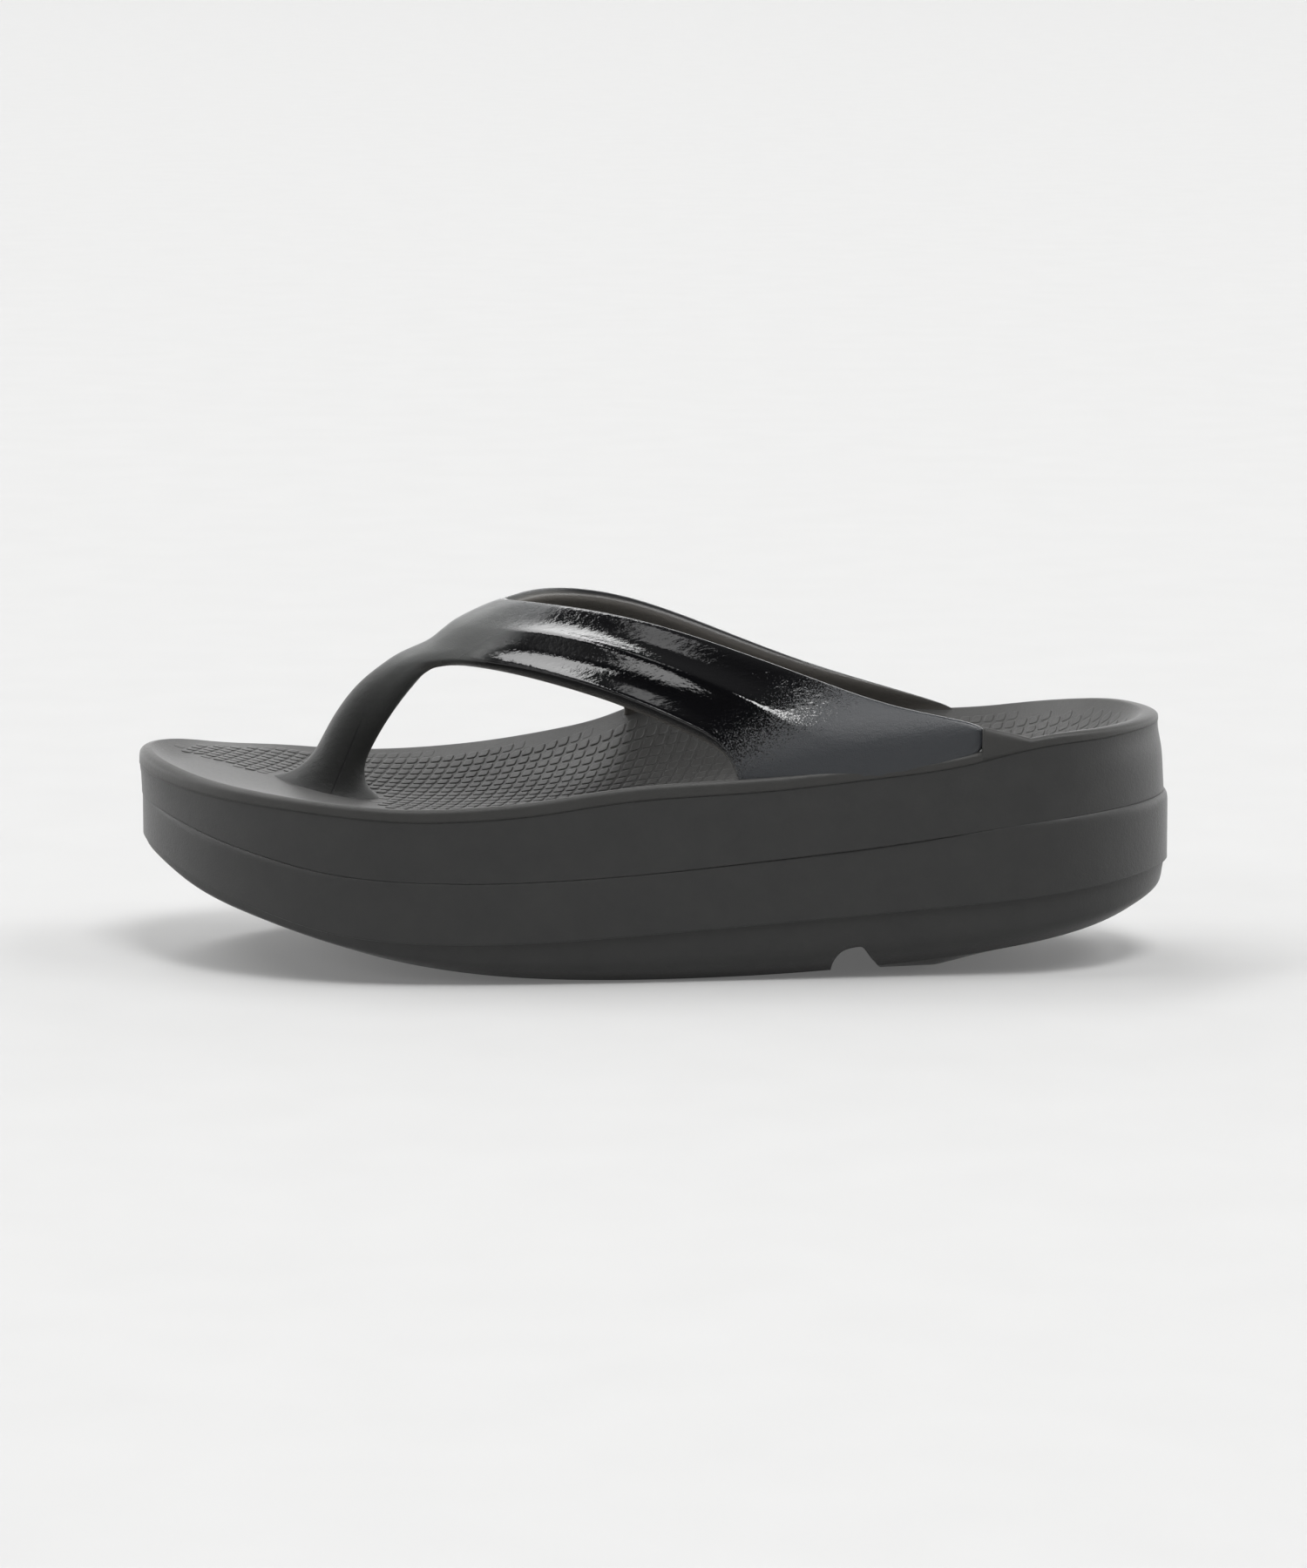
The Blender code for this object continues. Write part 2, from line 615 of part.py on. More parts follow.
def upper_mesh():
    """Strap and toe post as one closed cage."""
    sections = strap_sections()
    rings = post_rings()
    count, width = sections.shape[:2]
    points = np.concatenate((sections.reshape(-1, 3), rings.reshape(-1, 3)))
    root, loop = post_root(width)

    faces = [list(range(width)), list(range(count * width - 1, (count - 1) * width - 1, -1))]
    for section in range(count - 1):
        for point in range(width):
            after = (point + 1) % width
            inside = point in POST_ROOT_PROFILE and after in POST_ROOT_PROFILE
            if inside and root[0] <= section < root[-1]:
                continue
            here = section * width
            faces.append([here + point, here + width + point, here + width + after, here + after])
    loops = [loop]
    for ring in range(len(rings)):
        first = count * width + ring * POST_RING_POINTS
        loops.append(list(range(first, first + POST_RING_POINTS)))
    for outer, inner in zip(loops, loops[1:]):
        for k in range(POST_RING_POINTS):
            after = (k + 1) % POST_RING_POINTS
            faces.append([outer[k], inner[k], inner[after], outer[after]])
    faces.append(loops[-1])

    mesh = bpy.data.meshes.new("upper")
    mesh.from_pydata(points.tolist(), [], faces)
    mesh.validate()
    mesh.shade_smooth()
    return mesh


def drop_loose_points(mesh):
    """Removes the points inside the toe post's root, which no face uses."""
    work = bmesh.new()
    work.from_mesh(mesh)
    loose = [v for v in work.verts if not v.link_faces]
    bmesh.ops.delete(work, geom=loose, context="VERTS")
    bmesh.ops.recalc_face_normals(work, faces=work.faces)
    work.to_mesh(mesh)
    work.free()


def build_upper(material):
    """Y strap and toe post, smoothed, and trimmed to stand a gap off the bed."""
    mesh = upper_mesh()
    drop_loose_points(mesh)
    upper = add_object("upper", mesh, material)
    smooth = upper.modifiers.new("smooth", "SUBSURF")
    smooth.levels = STRAP_LEVELS
    smooth.render_levels = STRAP_LEVELS
    under = [parting_ring(0, GAP), level(UPPER_STEP, 0, 0), level(UPPER_STEP, 0, 0, 1)]
    add_cutter("bed_cutter", shell_mesh("bed_cutter", rim_rings(STRAP_SEAT) + under), upper)


def clear_scene():
    """Removes what the scene holds."""
    for obj in list(bpy.data.objects):
        bpy.data.objects.remove(obj)


def main():
    """Builds the five pieces."""
    clear_scene()
    foam = plain_material("charcoal_foam", (0.030, 0.030, 0.031), 0.75)
    bed = plain_material("bed_foam", (0.036, 0.035, 0.035), 0.8)
    gloss = plain_material("gloss_strap", (0.012, 0.012, 0.014), 0.22)
    build_outsole(foam)
    build_midsole_lower(foam)
    build_midsole_upper(foam)
    build_footbed(bed)
    build_upper(gloss)


main()
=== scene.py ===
"""Looks of the left recovery toe post sandal: fine pieces over the frame's solids, finishes, light, camera.

Frame: toe at -X, heel at +X, lateral side at -Y, medial side at +Y, ground at z = 0.
Sizes are in metres. The tables are written in millimetres, and table() turns them into metres.
"""

import math

import bmesh
import bpy
import numpy as np
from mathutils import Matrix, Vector
from mathutils.bvhtree import BVHTree


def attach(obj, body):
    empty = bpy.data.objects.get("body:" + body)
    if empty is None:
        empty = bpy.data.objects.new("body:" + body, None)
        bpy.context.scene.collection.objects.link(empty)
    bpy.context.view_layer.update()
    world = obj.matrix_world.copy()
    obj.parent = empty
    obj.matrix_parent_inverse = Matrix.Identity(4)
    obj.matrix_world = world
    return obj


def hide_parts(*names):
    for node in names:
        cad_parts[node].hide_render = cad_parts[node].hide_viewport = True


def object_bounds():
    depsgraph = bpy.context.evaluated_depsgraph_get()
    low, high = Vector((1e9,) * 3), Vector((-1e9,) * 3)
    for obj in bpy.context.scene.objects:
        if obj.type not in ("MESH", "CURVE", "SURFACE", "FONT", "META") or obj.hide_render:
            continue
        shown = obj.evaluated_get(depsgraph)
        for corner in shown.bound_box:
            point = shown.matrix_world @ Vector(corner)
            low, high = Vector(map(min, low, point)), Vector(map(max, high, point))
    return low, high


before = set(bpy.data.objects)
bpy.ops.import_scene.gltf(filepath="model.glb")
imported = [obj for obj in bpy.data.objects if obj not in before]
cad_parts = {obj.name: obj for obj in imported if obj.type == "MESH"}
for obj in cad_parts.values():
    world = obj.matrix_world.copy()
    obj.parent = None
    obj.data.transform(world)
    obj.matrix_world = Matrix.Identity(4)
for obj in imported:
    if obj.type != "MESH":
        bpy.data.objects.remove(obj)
CAD_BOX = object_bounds()

MM = 0.001
LATERAL = -1
MEDIAL = 1

# Camera, from the photograph
PHOTO_HEIGHT = 1800
PIXELS_PER_METRE = 4462
SENSOR = 36.0
AIM = Vector((0.0002, 0.0, 0.0440))
ELEVATION = math.radians(9)
DISTANCE = 1.6

# Driving dimensions
LENGTH = 265 * MM
TOE_X = -LENGTH / 2
HEEL_X = LENGTH / 2
TOE_TIP_Y = 8 * MM
TOE_ROUND_START = {LATERAL: -57.5 * MM, MEDIAL: -82.5 * MM}
HEEL_ROUND_START = 90 * MM
HAIRLINE = 0.04 * MM

# Rim and bed
LIP = 0.15 * MM
BED_THICKNESS = 8 * MM
BED_BOWL_POWER = 2.2
SHOULDER_X = 83.0 * MM
SHOULDER_RISE = 6.2 * MM
SHOULDER_RUN = 12.4 * MM
SHOULDER_SHARES = (0.06, 0.17)

# Side steps and notch
STEP_INSET = 0.3 * MM
STEP_ROUND = 0.22 * MM
STEP_FRONT = (-108 * MM, -84 * MM)
STEP_BACK = (70 * MM, 96 * MM)
NOTCH_REACH = 60 * MM

# Mesh density
CAP_STEPS = 44
BODY_ROWS = 150
SHOULDER_STEP = 0.12 * MM
SHOULDER_ROWS = 14
BED_RINGS = 44
BED_RING_POWER = 1.6
RIM_RINGS = 14
CREST_SMOOTHING = 6
CREST_REACH = 3
NOTCH_POINTS = 60
WALL_RINGS = 26
TREAD_RINGS = 30
STRAP_LEVELS = 3
POST_RING_POINTS = 20


def shares(columns, *rows):
    """Named columns of the numbers as written."""
    return dict(zip(columns.split(), np.array(rows, float).T))


def table(columns, *rows):
    """Named columns in metres, from rows written in millimetres."""
    return {name: column * MM for name, column in shares(columns, *rows).items()}


# Half widths of the plan outline before its ends are rounded
PLAN = table(
    "x lateral medial",
    (-82.5, 50.0, 50.0),
    (-57.5, 50.0, 49.7),
    (-40.0, 49.7, 47.6),
    (-20.0, 48.4, 43.8),
    (0.0, 46.6, 40.2),
    (20.0, 44.4, 38.0),
    (40.0, 42.2, 37.2),
    (60.0, 40.2, 37.4),
    (90.0, 38.0, 38.0),
)

# Height of the rim's crest on each side, and the parting line's drop below it
RIM = table(
    "x lateral medial drop",
    (-132.5, 53.2, 53.2, 4.0),
    (-124.0, 51.5, 51.3, 4.2),
    (-116.0, 50.0, 49.5, 3.8),
    (-100.0, 48.0, 47.6, 3.2),
    (-82.0, 46.3, 46.1, 3.0),
    (-62.0, 45.1, 46.5, 3.2),
    (-44.0, 45.6, 48.5, 3.4),
    (-26.0, 47.4, 52.0, 3.6),
    (-16.0, 48.9, 54.6, 3.6),
    (-11.0, 49.6, 56.4, 3.6),
    (-5.0, 50.3, 58.8, 3.6),
    (8.0, 51.2, 60.2, 3.6),
    (30.0, 52.2, 59.6, 3.4),
    (55.0, 54.3, 58.9, 3.0),
    (80.0, 57.4, 58.9, 2.6),
    (89.0, 59.7, 59.5, 2.7),
    (98.0, 61.7, 60.5, 2.8),
    (115.0, 62.8, 62.5, 2.5),
    (125.0, 63.2, 63.4, 2.2),
    (132.5, 63.4, 63.4, 2.0),
)

# Height of the bed along the foot's middle line, and that line's sideways place
SPINE = table(
    "x y z",
    (-118.0, 7.0, 49.4),
    (-108.0, 6.0, 47.2),
    (-98.0, 5.0, 44.7),
    (-88.0, 4.0, 42.0),
    (-78.0, 3.2, 39.8),
    (-60.0, 2.0, 37.8),
    (-35.0, 0.0, 38.2),
    (-10.0, -3.0, 40.2),
    (20.0, -5.0, 43.8),
    (50.0, -3.0, 46.4),
    (94.0, 0.0, 49.4),
)

# Heights of the two step lines and of the tread's outer edge, and the height under the middle.
# A middle height below zero is ground contact: the tread is flat there.
SIDE = table(
    "x upper_step lower_step edge middle",
    (-132.5, 41.8, 31.4, 29.8, 29.4),
    (-124.0, 39.4, 28.0, 25.9, 25.4),
    (-116.0, 36.8, 24.5, 21.4, 20.8),
    (-100.0, 32.4, 18.7, 15.5, 14.8),
    (-84.0, 28.9, 14.1, 10.7, 9.8),
    (-64.0, 26.9, 11.5, 5.6, 4.5),
    (-44.0, 26.4, 10.9, 2.3, 1.2),
    (-20.0, 27.1, 11.7, 0.6, -0.5),
    (8.0, 29.2, 13.6, 0.4, -0.7),
    (36.0, 32.0, 15.6, 1.3, -0.7),
    (52.0, 33.7, 16.8, 2.4, -1.2),
    (64.0, 35.2, 17.8, 3.5, -1.0),
    (72.0, 36.3, 18.5, 4.4, 0.1),
    (84.0, 38.1, 19.6, 6.0, 3.8),
    (96.0, 39.9, 21.0, 8.2, 6.9),
    (112.0, 41.7, 23.0, 11.7, 10.9),
    (132.5, 43.4, 25.8, 18.2, 17.6),
)

# How far each layer stands inside the widest outline: the rim's crest and its parting line, the
# upper and the lower midsole where they are widest, and the tread's edge
INSETS = table(
    "x crest parting upper lower tread",
    (-132.5, 3.0, 0.0, 0.6, 0.8, 3.6),
    (-122.0, 2.8, 0.3, 0.75, 0.3, 4.6),
    (-95.0, 2.6, 0.8, 0.5, 0.0, 6.0),
    (0.0, 2.5, 1.2, 0.1, 0.0, 7.2),
    (80.0, 2.9, 1.5, 0.1, 0.0, 7.0),
    (112.0, 4.6, 2.0, 0.8, 0.0, 6.6),
    (132.5, 7.0, 2.8, 1.2, 0.1, 6.4),
)

# Wall rows of each layer from top to bottom. The outsole's inset is a share of the way to the
# tread's edge, the lower midsole's of its bevel, the upper midsole's runs from its lip to its widest.
OUTSOLE_WALL = shares("down inset", (0.0, 0.12), (0.4, 0.22), (0.75, 0.45), (1.0, 1.0))
LOWER_WALL = shares(
    "down inset", (0.0, 1.0), (0.02, 0.7), (0.04, 0.45), (0.08, 0.2), (0.2, 0.05), (1.0, 0.0)
)
UPPER_WALL = shares("down flare", (0.0, 0.0), (0.08, 0.02), (0.35, 0.5), (0.65, 0.8), (1.0, 1.0))

# Rings of the tread: share of the way from its edge to the spine, share of the edge's lift left
TREAD = shares("inward crown", (0.0, 1.0), (0.14, 0.55), (0.4, 0.14), (0.72, 0.0), (1.0, 0.0))

# Rings of the bed's underside and of the layers' seats, as shares of the way from wall to spine
UNDER_SHARES = (0.3, 0.65, 1)
SEAT_SHARES = (0, 0.5, 1)
# Rows of the rounded rim from the crest to the parting line
RIM_ROUND = shares(
    "across down", (1.0, 0.0), (0.7, 0.03), (0.4, 0.1), (0.14, 0.25), (0.02, 0.5), (0.0, 1.0)
)

# Flex notch across the tread, side profile from its front foot to its back foot
NOTCH = table(
    "x z",
    (44.7, -4.0),
    (45.0, 2.0),
    (45.9, 5.2),
    (47.6, 7.3),
    (50.0, 8.3),
    (52.2, 8.6),
    (53.5, 7.8),
    (55.2, 5.2),
    (57.4, 2.0),
    (60.4, -4.0),
)

# Strap sections from the toe post outwards: throat edge, front edge, fullness, the middle ridge's
# height and its distance from the front edge, wall
STRAP_COLUMNS = "top_x top_y top_z low_x low_y low_z fullness ridge ridge_in wall"
STRAP_CENTRE = (-38.0, 10.5, 91.1, -61.0, 9.5, 78.0, 2.2, 0.1, 11.5, 5.0)
STRAP = {
    LATERAL: table(
        STRAP_COLUMNS,
        STRAP_CENTRE,
        (-33.5, 6.6, 91.0, -53.5, 5.0, 75.4, 1.9, 0.1, 12.6, 5.0),
        (-25.0, 3.4, 90.4, -43.5, 1.6, 75.2, 1.8, 0.5, 12.2, 5.0),
        (-10.0, -4.0, 88.8, -26.5, -11.6, 73.6, 2.2, 1.6, 11.8, 5.0),
        (9.0, -13.5, 85.0, -9.0, -24.6, 70.4, 2.2, 1.5, 12.0, 5.0),
        (28.0, -21.6, 79.4, 5.5, -33.0, 65.4, 2.0, 1.3, 13.5, 5.0),
        (46.0, -27.7, 73.8, 14.5, -37.0, 61.8, 1.7, 0.6, 15.5, 5.0),
        (64.0, -33.2, 68.6, 19.3, -39.8, 57.5, 1.2, 0.1, 21.0, 5.0),
        (82.9, -35.4, 64.2, 21.0, -41.0, 52.0, 0.8, 0.0, 32.0, 5.0),
        (82.9, -36.9, 54.0, 21.2, -41.6, 45.0, 0.8, 0.0, 32.0, 5.0),
    ),
    MEDIAL: table(
        STRAP_COLUMNS,
        STRAP_CENTRE,
        (-35.0, 15.0, 91.8, -53.5, 14.0, 75.4, 1.9, 0.1, 12.6, 5.0),
        (-30.0, 18.6, 92.7, -45.5, 19.5, 75.0, 1.8, 0.5, 12.2, 5.0),
        (-19.0, 22.6, 92.3, -34.5, 27.4, 73.0, 2.2, 1.6, 11.8, 5.0),
        (-4.0, 26.5, 89.1, -23.0, 34.0, 69.6, 2.2, 1.5, 12.0, 5.0),
        (13.0, 29.7, 82.6, -13.5, 37.4, 65.4, 2.0, 1.3, 13.5, 5.0),
        (31.0, 32.2, 75.2, -7.8, 39.2, 61.2, 1.8, 0.9, 15.5, 4.8),
        (50.0, 33.6, 68.4, -7.4, 39.6, 57.6, 1.6, 0.5, 21.0, 3.6),
        (76.0, 34.6, 60.2, -8.0, 39.4, 54.0, 1.4, 0.0, 32.0, 1.4),
        (84.0, 35.0, 55.0, -9.0, 39.0, 49.5, 1.4, 0.0, 32.0, 1.0),
    ),
}
# Section places on one arm: at the toe post's root, along the arm, and at its tail
ROOT_STATIONS = (0.5, 1.0)
ARM_STATIONS = np.linspace(1.7, 7.6, 9)
TAIL_STATIONS = (7.85, 7.97, 8.03, 8.2, 9.0)

# Strap profile, outer face from front edge to throat edge and back along the inner face, and where
# it is lacquered and where its polished lips are
PROFILE_RIDGE = 0.61
PROFILE = shares(
    "width ridge wall lacquer lip",
    (0.000, 0.0, -0.30, 0.5, 0.5),
    (0.022, 0.2, -0.02, 1.0, 0.5),
    (0.120, 0.5, 0.00, 1.0, 0.0),
    (0.270, -0.3, 0.00, 1.0, 0.0),
    (0.430, -0.4, 0.00, 1.0, 0.0),
    (0.560, 0.7, 0.00, 1.0, 0.0),
    (PROFILE_RIDGE, 1.0, 0.00, 1.0, 0.0),
    (0.660, 0.5, 0.00, 1.0, 0.0),
    (0.780, -0.3, 0.00, 1.0, 0.0),
    (0.900, 0.3, 0.00, 1.0, 0.0),
    (0.968, 0.6, -0.01, 1.0, 0.0),
    (0.990, 0.45, -0.06, 1.0, 0.8),
    (1.000, 0.0, -0.27, 0.8, 1.0),
    (0.990, 0.0, -0.82, 0.0, 0.0),
    (0.860, 0.0, -0.98, 0.0, 0.0),
    (0.620, 0.0, -1.00, 0.0, 0.0),
    (0.360, 0.0, -1.00, 0.0, 0.0),
    (0.120, 0.0, -0.98, 0.0, 0.0),
    (0.015, 0.0, -0.80, 0.0, 0.0),
)
# The profile points over the front edge that the toe post grows from, outside to inside
POST_ROOT_PROFILE = (3, 2, 1, 0, 18, 17, 16)

# Toe post rings from under the strap down into the bed: front point, back point, half width, and how
# far the sides hang below the line from front to back. The ring before the last lies on the bed.
POST_Y = 9.5 * MM
POST_FOOT = -2
POST = table(
    "front_x front_z back_x back_z width sag",
    (-65.3, 77.2, -59.5, 70.8, 5.2, 0.0),
    (-69.8, 74.0, -63.0, 66.8, 4.8, 0.0),
    (-75.4, 69.8, -66.6, 62.0, 4.6, 0.0),
    (-80.0, 64.4, -69.6, 57.4, 4.6, 0.0),
    (-83.9, 58.2, -72.4, 52.4, 4.7, 0.0),
    (-86.5, 52.8, -74.2, 48.6, 4.9, 0.0),
    (-89.0, 49.2, -74.6, 45.2, 5.3, 0.3),
    (-92.4, 46.6, -73.9, 42.6, 5.7, 0.9),
    (-96.2, 45.2, -72.4, 40.7, 6.3, 1.6),
    (-99.8, 44.9, -70.4, 39.3, 7.2, 2.4),
    (-101.0, 42.0, -69.5, 36.6, 7.8, 2.4),
)

# Pads moulded on the bed: pitch along and across the foot, pad size as a share of it, lean, relief,
# root in the bed, outline
PAD_PITCH = (3.15 * MM, 3.35 * MM)
PAD_FILL = 0.8
PAD_LEAN = math.tan(math.radians(17))
PAD_RELIEF = 0.25 * MM
PAD_ROOT = 0.3 * MM
PAD_SQUARENESS = 0.42
PAD_CORNER_POINTS = 3
# Where they fade out: towards the crest, round the post in shares of an ellipse, and the least
# strength that a pad has
PAD_FADE = 2.5 * MM
PAD_CREST_CLEAR = 3 * MM
PAD_POST_CLEAR = (14.5 * MM, 11.5 * MM)
PAD_POST_FADE = (1.0, 1.2)
PAD_MIN = 0.15
# Rings of one pad from its root to its top: size, lift
PAD_RINGS = shares("size lift", (1.0, 0.0), (0.985, 0.7), (0.93, 0.98), (0.6, 1.0))
# Lateral limit of the padded field, x and low in millimetres, and the relief and the pads' share of
# the pitch across the foot
PAD_FIELD = shares(
    "x low relief fill",
    (-126.0, 17.0, 0.7, 0.80),
    (-118.0, 13.0, 0.8, 0.80),
    (-98.0, 5.0, 1.0, 0.80),
    (-84.0, 8.0, 1.0, 0.80),
    (-72.0, 3.0, 1.0, 0.80),
    (-60.0, -18.0, 1.0, 0.80),
    (-48.0, -36.0, 1.0, 0.80),
    (-8.0, -38.0, 1.0, 0.80),
    (-2.0, -37.0, 0.7, 0.90),
    (6.0, -36.0, 0.45, 1.04),
    (60.0, -30.0, 0.4, 1.00),
    (80.0, -28.0, 0.45, 0.80),
    (126.0, -20.0, 0.42, 0.80),
)

# Middle of a noise's values, and the part of them that colour and roughness follow
NOISE_MIDDLE = 0.5
NOISE_REACH = (0.3, 0.7)

# Foams: darkest and lightest colour, and roughness
SIDE_FOAM = {
    "dark": (0.017, 0.0172, 0.0172),
    "light": (0.0245, 0.0246, 0.0238),
    "roughness": (0.48, 0.58),
}
BED_FOAM = {
    "dark": (0.0225, 0.0222, 0.021),
    "light": (0.03, 0.0296, 0.028),
    "roughness": (0.5, 0.6),
}
# Mottling, grain and pebbles of their skin: feature size, finer layers, strength of those layers
MOTTLE = (9 * MM, 4.0, 0.6)
GRAIN = (0.55 * MM, 3.0, 0.6)
PEBBLE = (1.6 * MM, 2.0, 0.5)
MOTTLE_SHARE = 0.6
GRAIN_SHARE = 0.4
GRAIN_DEPTH = 0.05 * MM
PEBBLE_DEPTH = 0.04 * MM
# Sheen of the foam's skin at grazing angles
FOAM_SHEEN = 0.18
FOAM_SHEEN_ROUGHNESS = 0.35

# Where the strap's lacquer starts and ends along the foot, on lines that lean back with height, and
# where along the foot it starts behind the toe post
LACQUER_SLANT = 1.5
LACQUER_FRONT = (-167 * MM, -153 * MM)
LACQUER_BACK = (-67 * MM, -59 * MM)
LACQUER_ROOT = (-58 * MM, -48 * MM)
LACQUER_COLOUR = (0.003, 0.003, 0.0035)
LACQUER_ROUGHNESS = 0.035
# Mould seam down the toe post's side, on a line that leans with height
SEAM_SLANT = 0.41
SEAM_PLACE = -99.6 * MM
SEAM_TOP = (56 * MM, 62 * MM)
SEAM_HALF = (0.05 * MM, 0.35 * MM)
SEAM_DEPTH = 0.06 * MM
# Orange peel of the lacquer, drawn out along the foot, and the satin's speckle: feature size, finer
# layers, strength of those layers
PEEL = (1.3 * MM, 3.0, 0.6)
PEEL_STRETCH = (0.5, 1.0, 1.0)
PEEL_DEPTH = 0.09 * MM
SPECKLE = (0.4 * MM, 3.0, 0.8)
SPECKLE_DEPTH = 0.08 * MM
# How far the speckle breaks up the lacquer's back edge
SPECKLE_SPREAD = 90 * MM
# Satin outside of the strap at tails, nose and post, changing along the foot, and the strap's inside.
# The nose's lighter colour is a painted highlight, and the inside's light colour is painted fill light
SATIN_COLOUR = (0.027, 0.0295, 0.0335)
SATIN_REACH = (-40 * MM, 40 * MM)
SATIN_ROUGHNESS = (0.3, 0.48)
NOSE_PAINTED_HIGHLIGHT_COLOUR = (0.105, 0.108, 0.106)
NOSE_PAINTED_HIGHLIGHT_REACH = (-46 * MM, -18 * MM)
POST_COLOUR = (0.012, 0.0125, 0.0118)
POST_REACH = (-78 * MM, -50 * MM)
POST_ROUGHNESS = (0.5, 0.3)
# Painted fill light: the strap's warm grey inside is made far lighter than its own tone
INSIDE_PAINTED_FILL_COLOUR = (0.125, 0.117, 0.106)

# Studio brightness by direction: its level on the camera's side and behind the sandal, and where
# along y it turns
STUDIO_TURN = (-0.4, 0.25)
STUDIO_LEVEL = (0.18, 2.1)
# Extra share of the brightness behind, far to the toe's and the heel's side, and where along x it turns
STUDIO_SIDES = shares("start end extra", (-0.6, -0.95, 1.0), (0.5, 0.95, 0.8))
# Where along z it falls off towards the ceiling, and the share of it that is left there
CEILING = (0.35, 0.65)
CEILING_LEVEL = 0.06
# Soft boxes overhead: place and half sizes as shares of their height, turn in degrees, brightness
SOFT_BOXES = shares(
    "across out turn half_long half_wide level",
    (-0.578, 0.302, 52.0, 0.78, 0.17, 7.5),
    (-0.24, 0.03, 52.0, 0.18, 0.09, 2.0),
    (-1.45, -1.35, 0.0, 0.52, 0.42, 4.2),
    (0.20, -0.48, 0.0, 0.18, 0.23, 16.0),
    (0.90, -0.20, 90.0, 0.50, 0.30, 4.5),
)
# Their height, and the watts of one square metre of a box at a brightness of 1
BOX_HEIGHT = 60.0
WATTS_PER_LEVEL = math.pi

# Pale floor: half its length, darkest and lightest colour, mottling as for the foams, and the light
# that it gives off by itself
FLOOR_REACH = 14.0
FLOOR_DARK = (0.415, 0.415, 0.413)
FLOOR_LIGHT = (0.435, 0.435, 0.433)
FLOOR_MOTTLE = (30 * MM, 1.0, 0.5)
FLOOR_GLOW = 0.11
WHITE = (1.0, 1.0, 1.0, 1.0)


def spline(xs, ys):
    """Natural cubic curve through the points, held level outside them."""
    step = np.diff(xs)
    system = np.eye(len(xs))
    right = np.zeros(len(xs))
    slope = np.diff(ys) / step
    for i in range(1, len(xs) - 1):
        system[i, i - 1 : i + 2] = step[i - 1], 2 * (step[i - 1] + step[i]), step[i]
        right[i] = 6 * (slope[i] - slope[i - 1])
    bend = np.linalg.solve(system, right)

    def at(x):
        x = np.clip(x, xs[0], xs[-1])
        i = np.clip(np.searchsorted(xs, x) - 1, 0, len(xs) - 2)
        before = x - xs[i]
        after = xs[i + 1] - x
        cubic = (bend[i] * after**3 + bend[i + 1] * before**3) / (6 * step[i])
        left = (ys[i] / step[i] - bend[i] * step[i] / 6) * after
        return cubic + left + (ys[i + 1] / step[i] - bend[i + 1] * step[i] / 6) * before

    return at


def smooth_step(low, high, value):
    """0 below low, 1 above high, smooth between."""
    share = np.clip((value - low) / (high - low), 0, 1)
    return share * share * (3 - 2 * share)


HALF_WIDTH = {LATERAL: spline(PLAN["x"], PLAN["lateral"]), MEDIAL: spline(PLAN["x"], PLAN["medial"])}
RIM_Z = {LATERAL: spline(RIM["x"], RIM["lateral"]), MEDIAL: spline(RIM["x"], RIM["medial"])}
PARTING_DROP = spline(RIM["x"], RIM["drop"])
SPINE_Y = spline(SPINE["x"], SPINE["y"])
SPINE_Z = spline(SPINE["x"], SPINE["z"])
UPPER_STEP = spline(SIDE["x"], SIDE["upper_step"])
LOWER_STEP = spline(SIDE["x"], SIDE["lower_step"])
TREAD_EDGE = spline(SIDE["x"], SIDE["edge"])
TREAD_MIDDLE = spline(SIDE["x"], SIDE["middle"])


def outline_y(side, x):
    """Plan outline at x on one side: the half width, rounded by quarter ellipses at toe and heel."""
    toe = np.clip((x - TOE_ROUND_START[side]) / (TOE_X - TOE_ROUND_START[side]), 0, 1)
    heel = np.clip((x - HEEL_ROUND_START) / (HEEL_X - HEEL_ROUND_START), 0, 1)
    y = side * HALF_WIDTH[side](x)
    y = TOE_TIP_Y + (y - TOE_TIP_Y) * np.sqrt(1 - toe**2)
    return y * np.sqrt(1 - heel**2)


def cap_x(start, end, body_end):
    """Outline x values from the body's last row to the tip, at even angles of the end's ellipse."""
    first = math.asin(max(0.0, (body_end - start) / (end - start)))
    angles = np.linspace(first, math.pi / 2, CAP_STEPS + 1)[1:]
    return start + (end - start) * np.sin(angles)


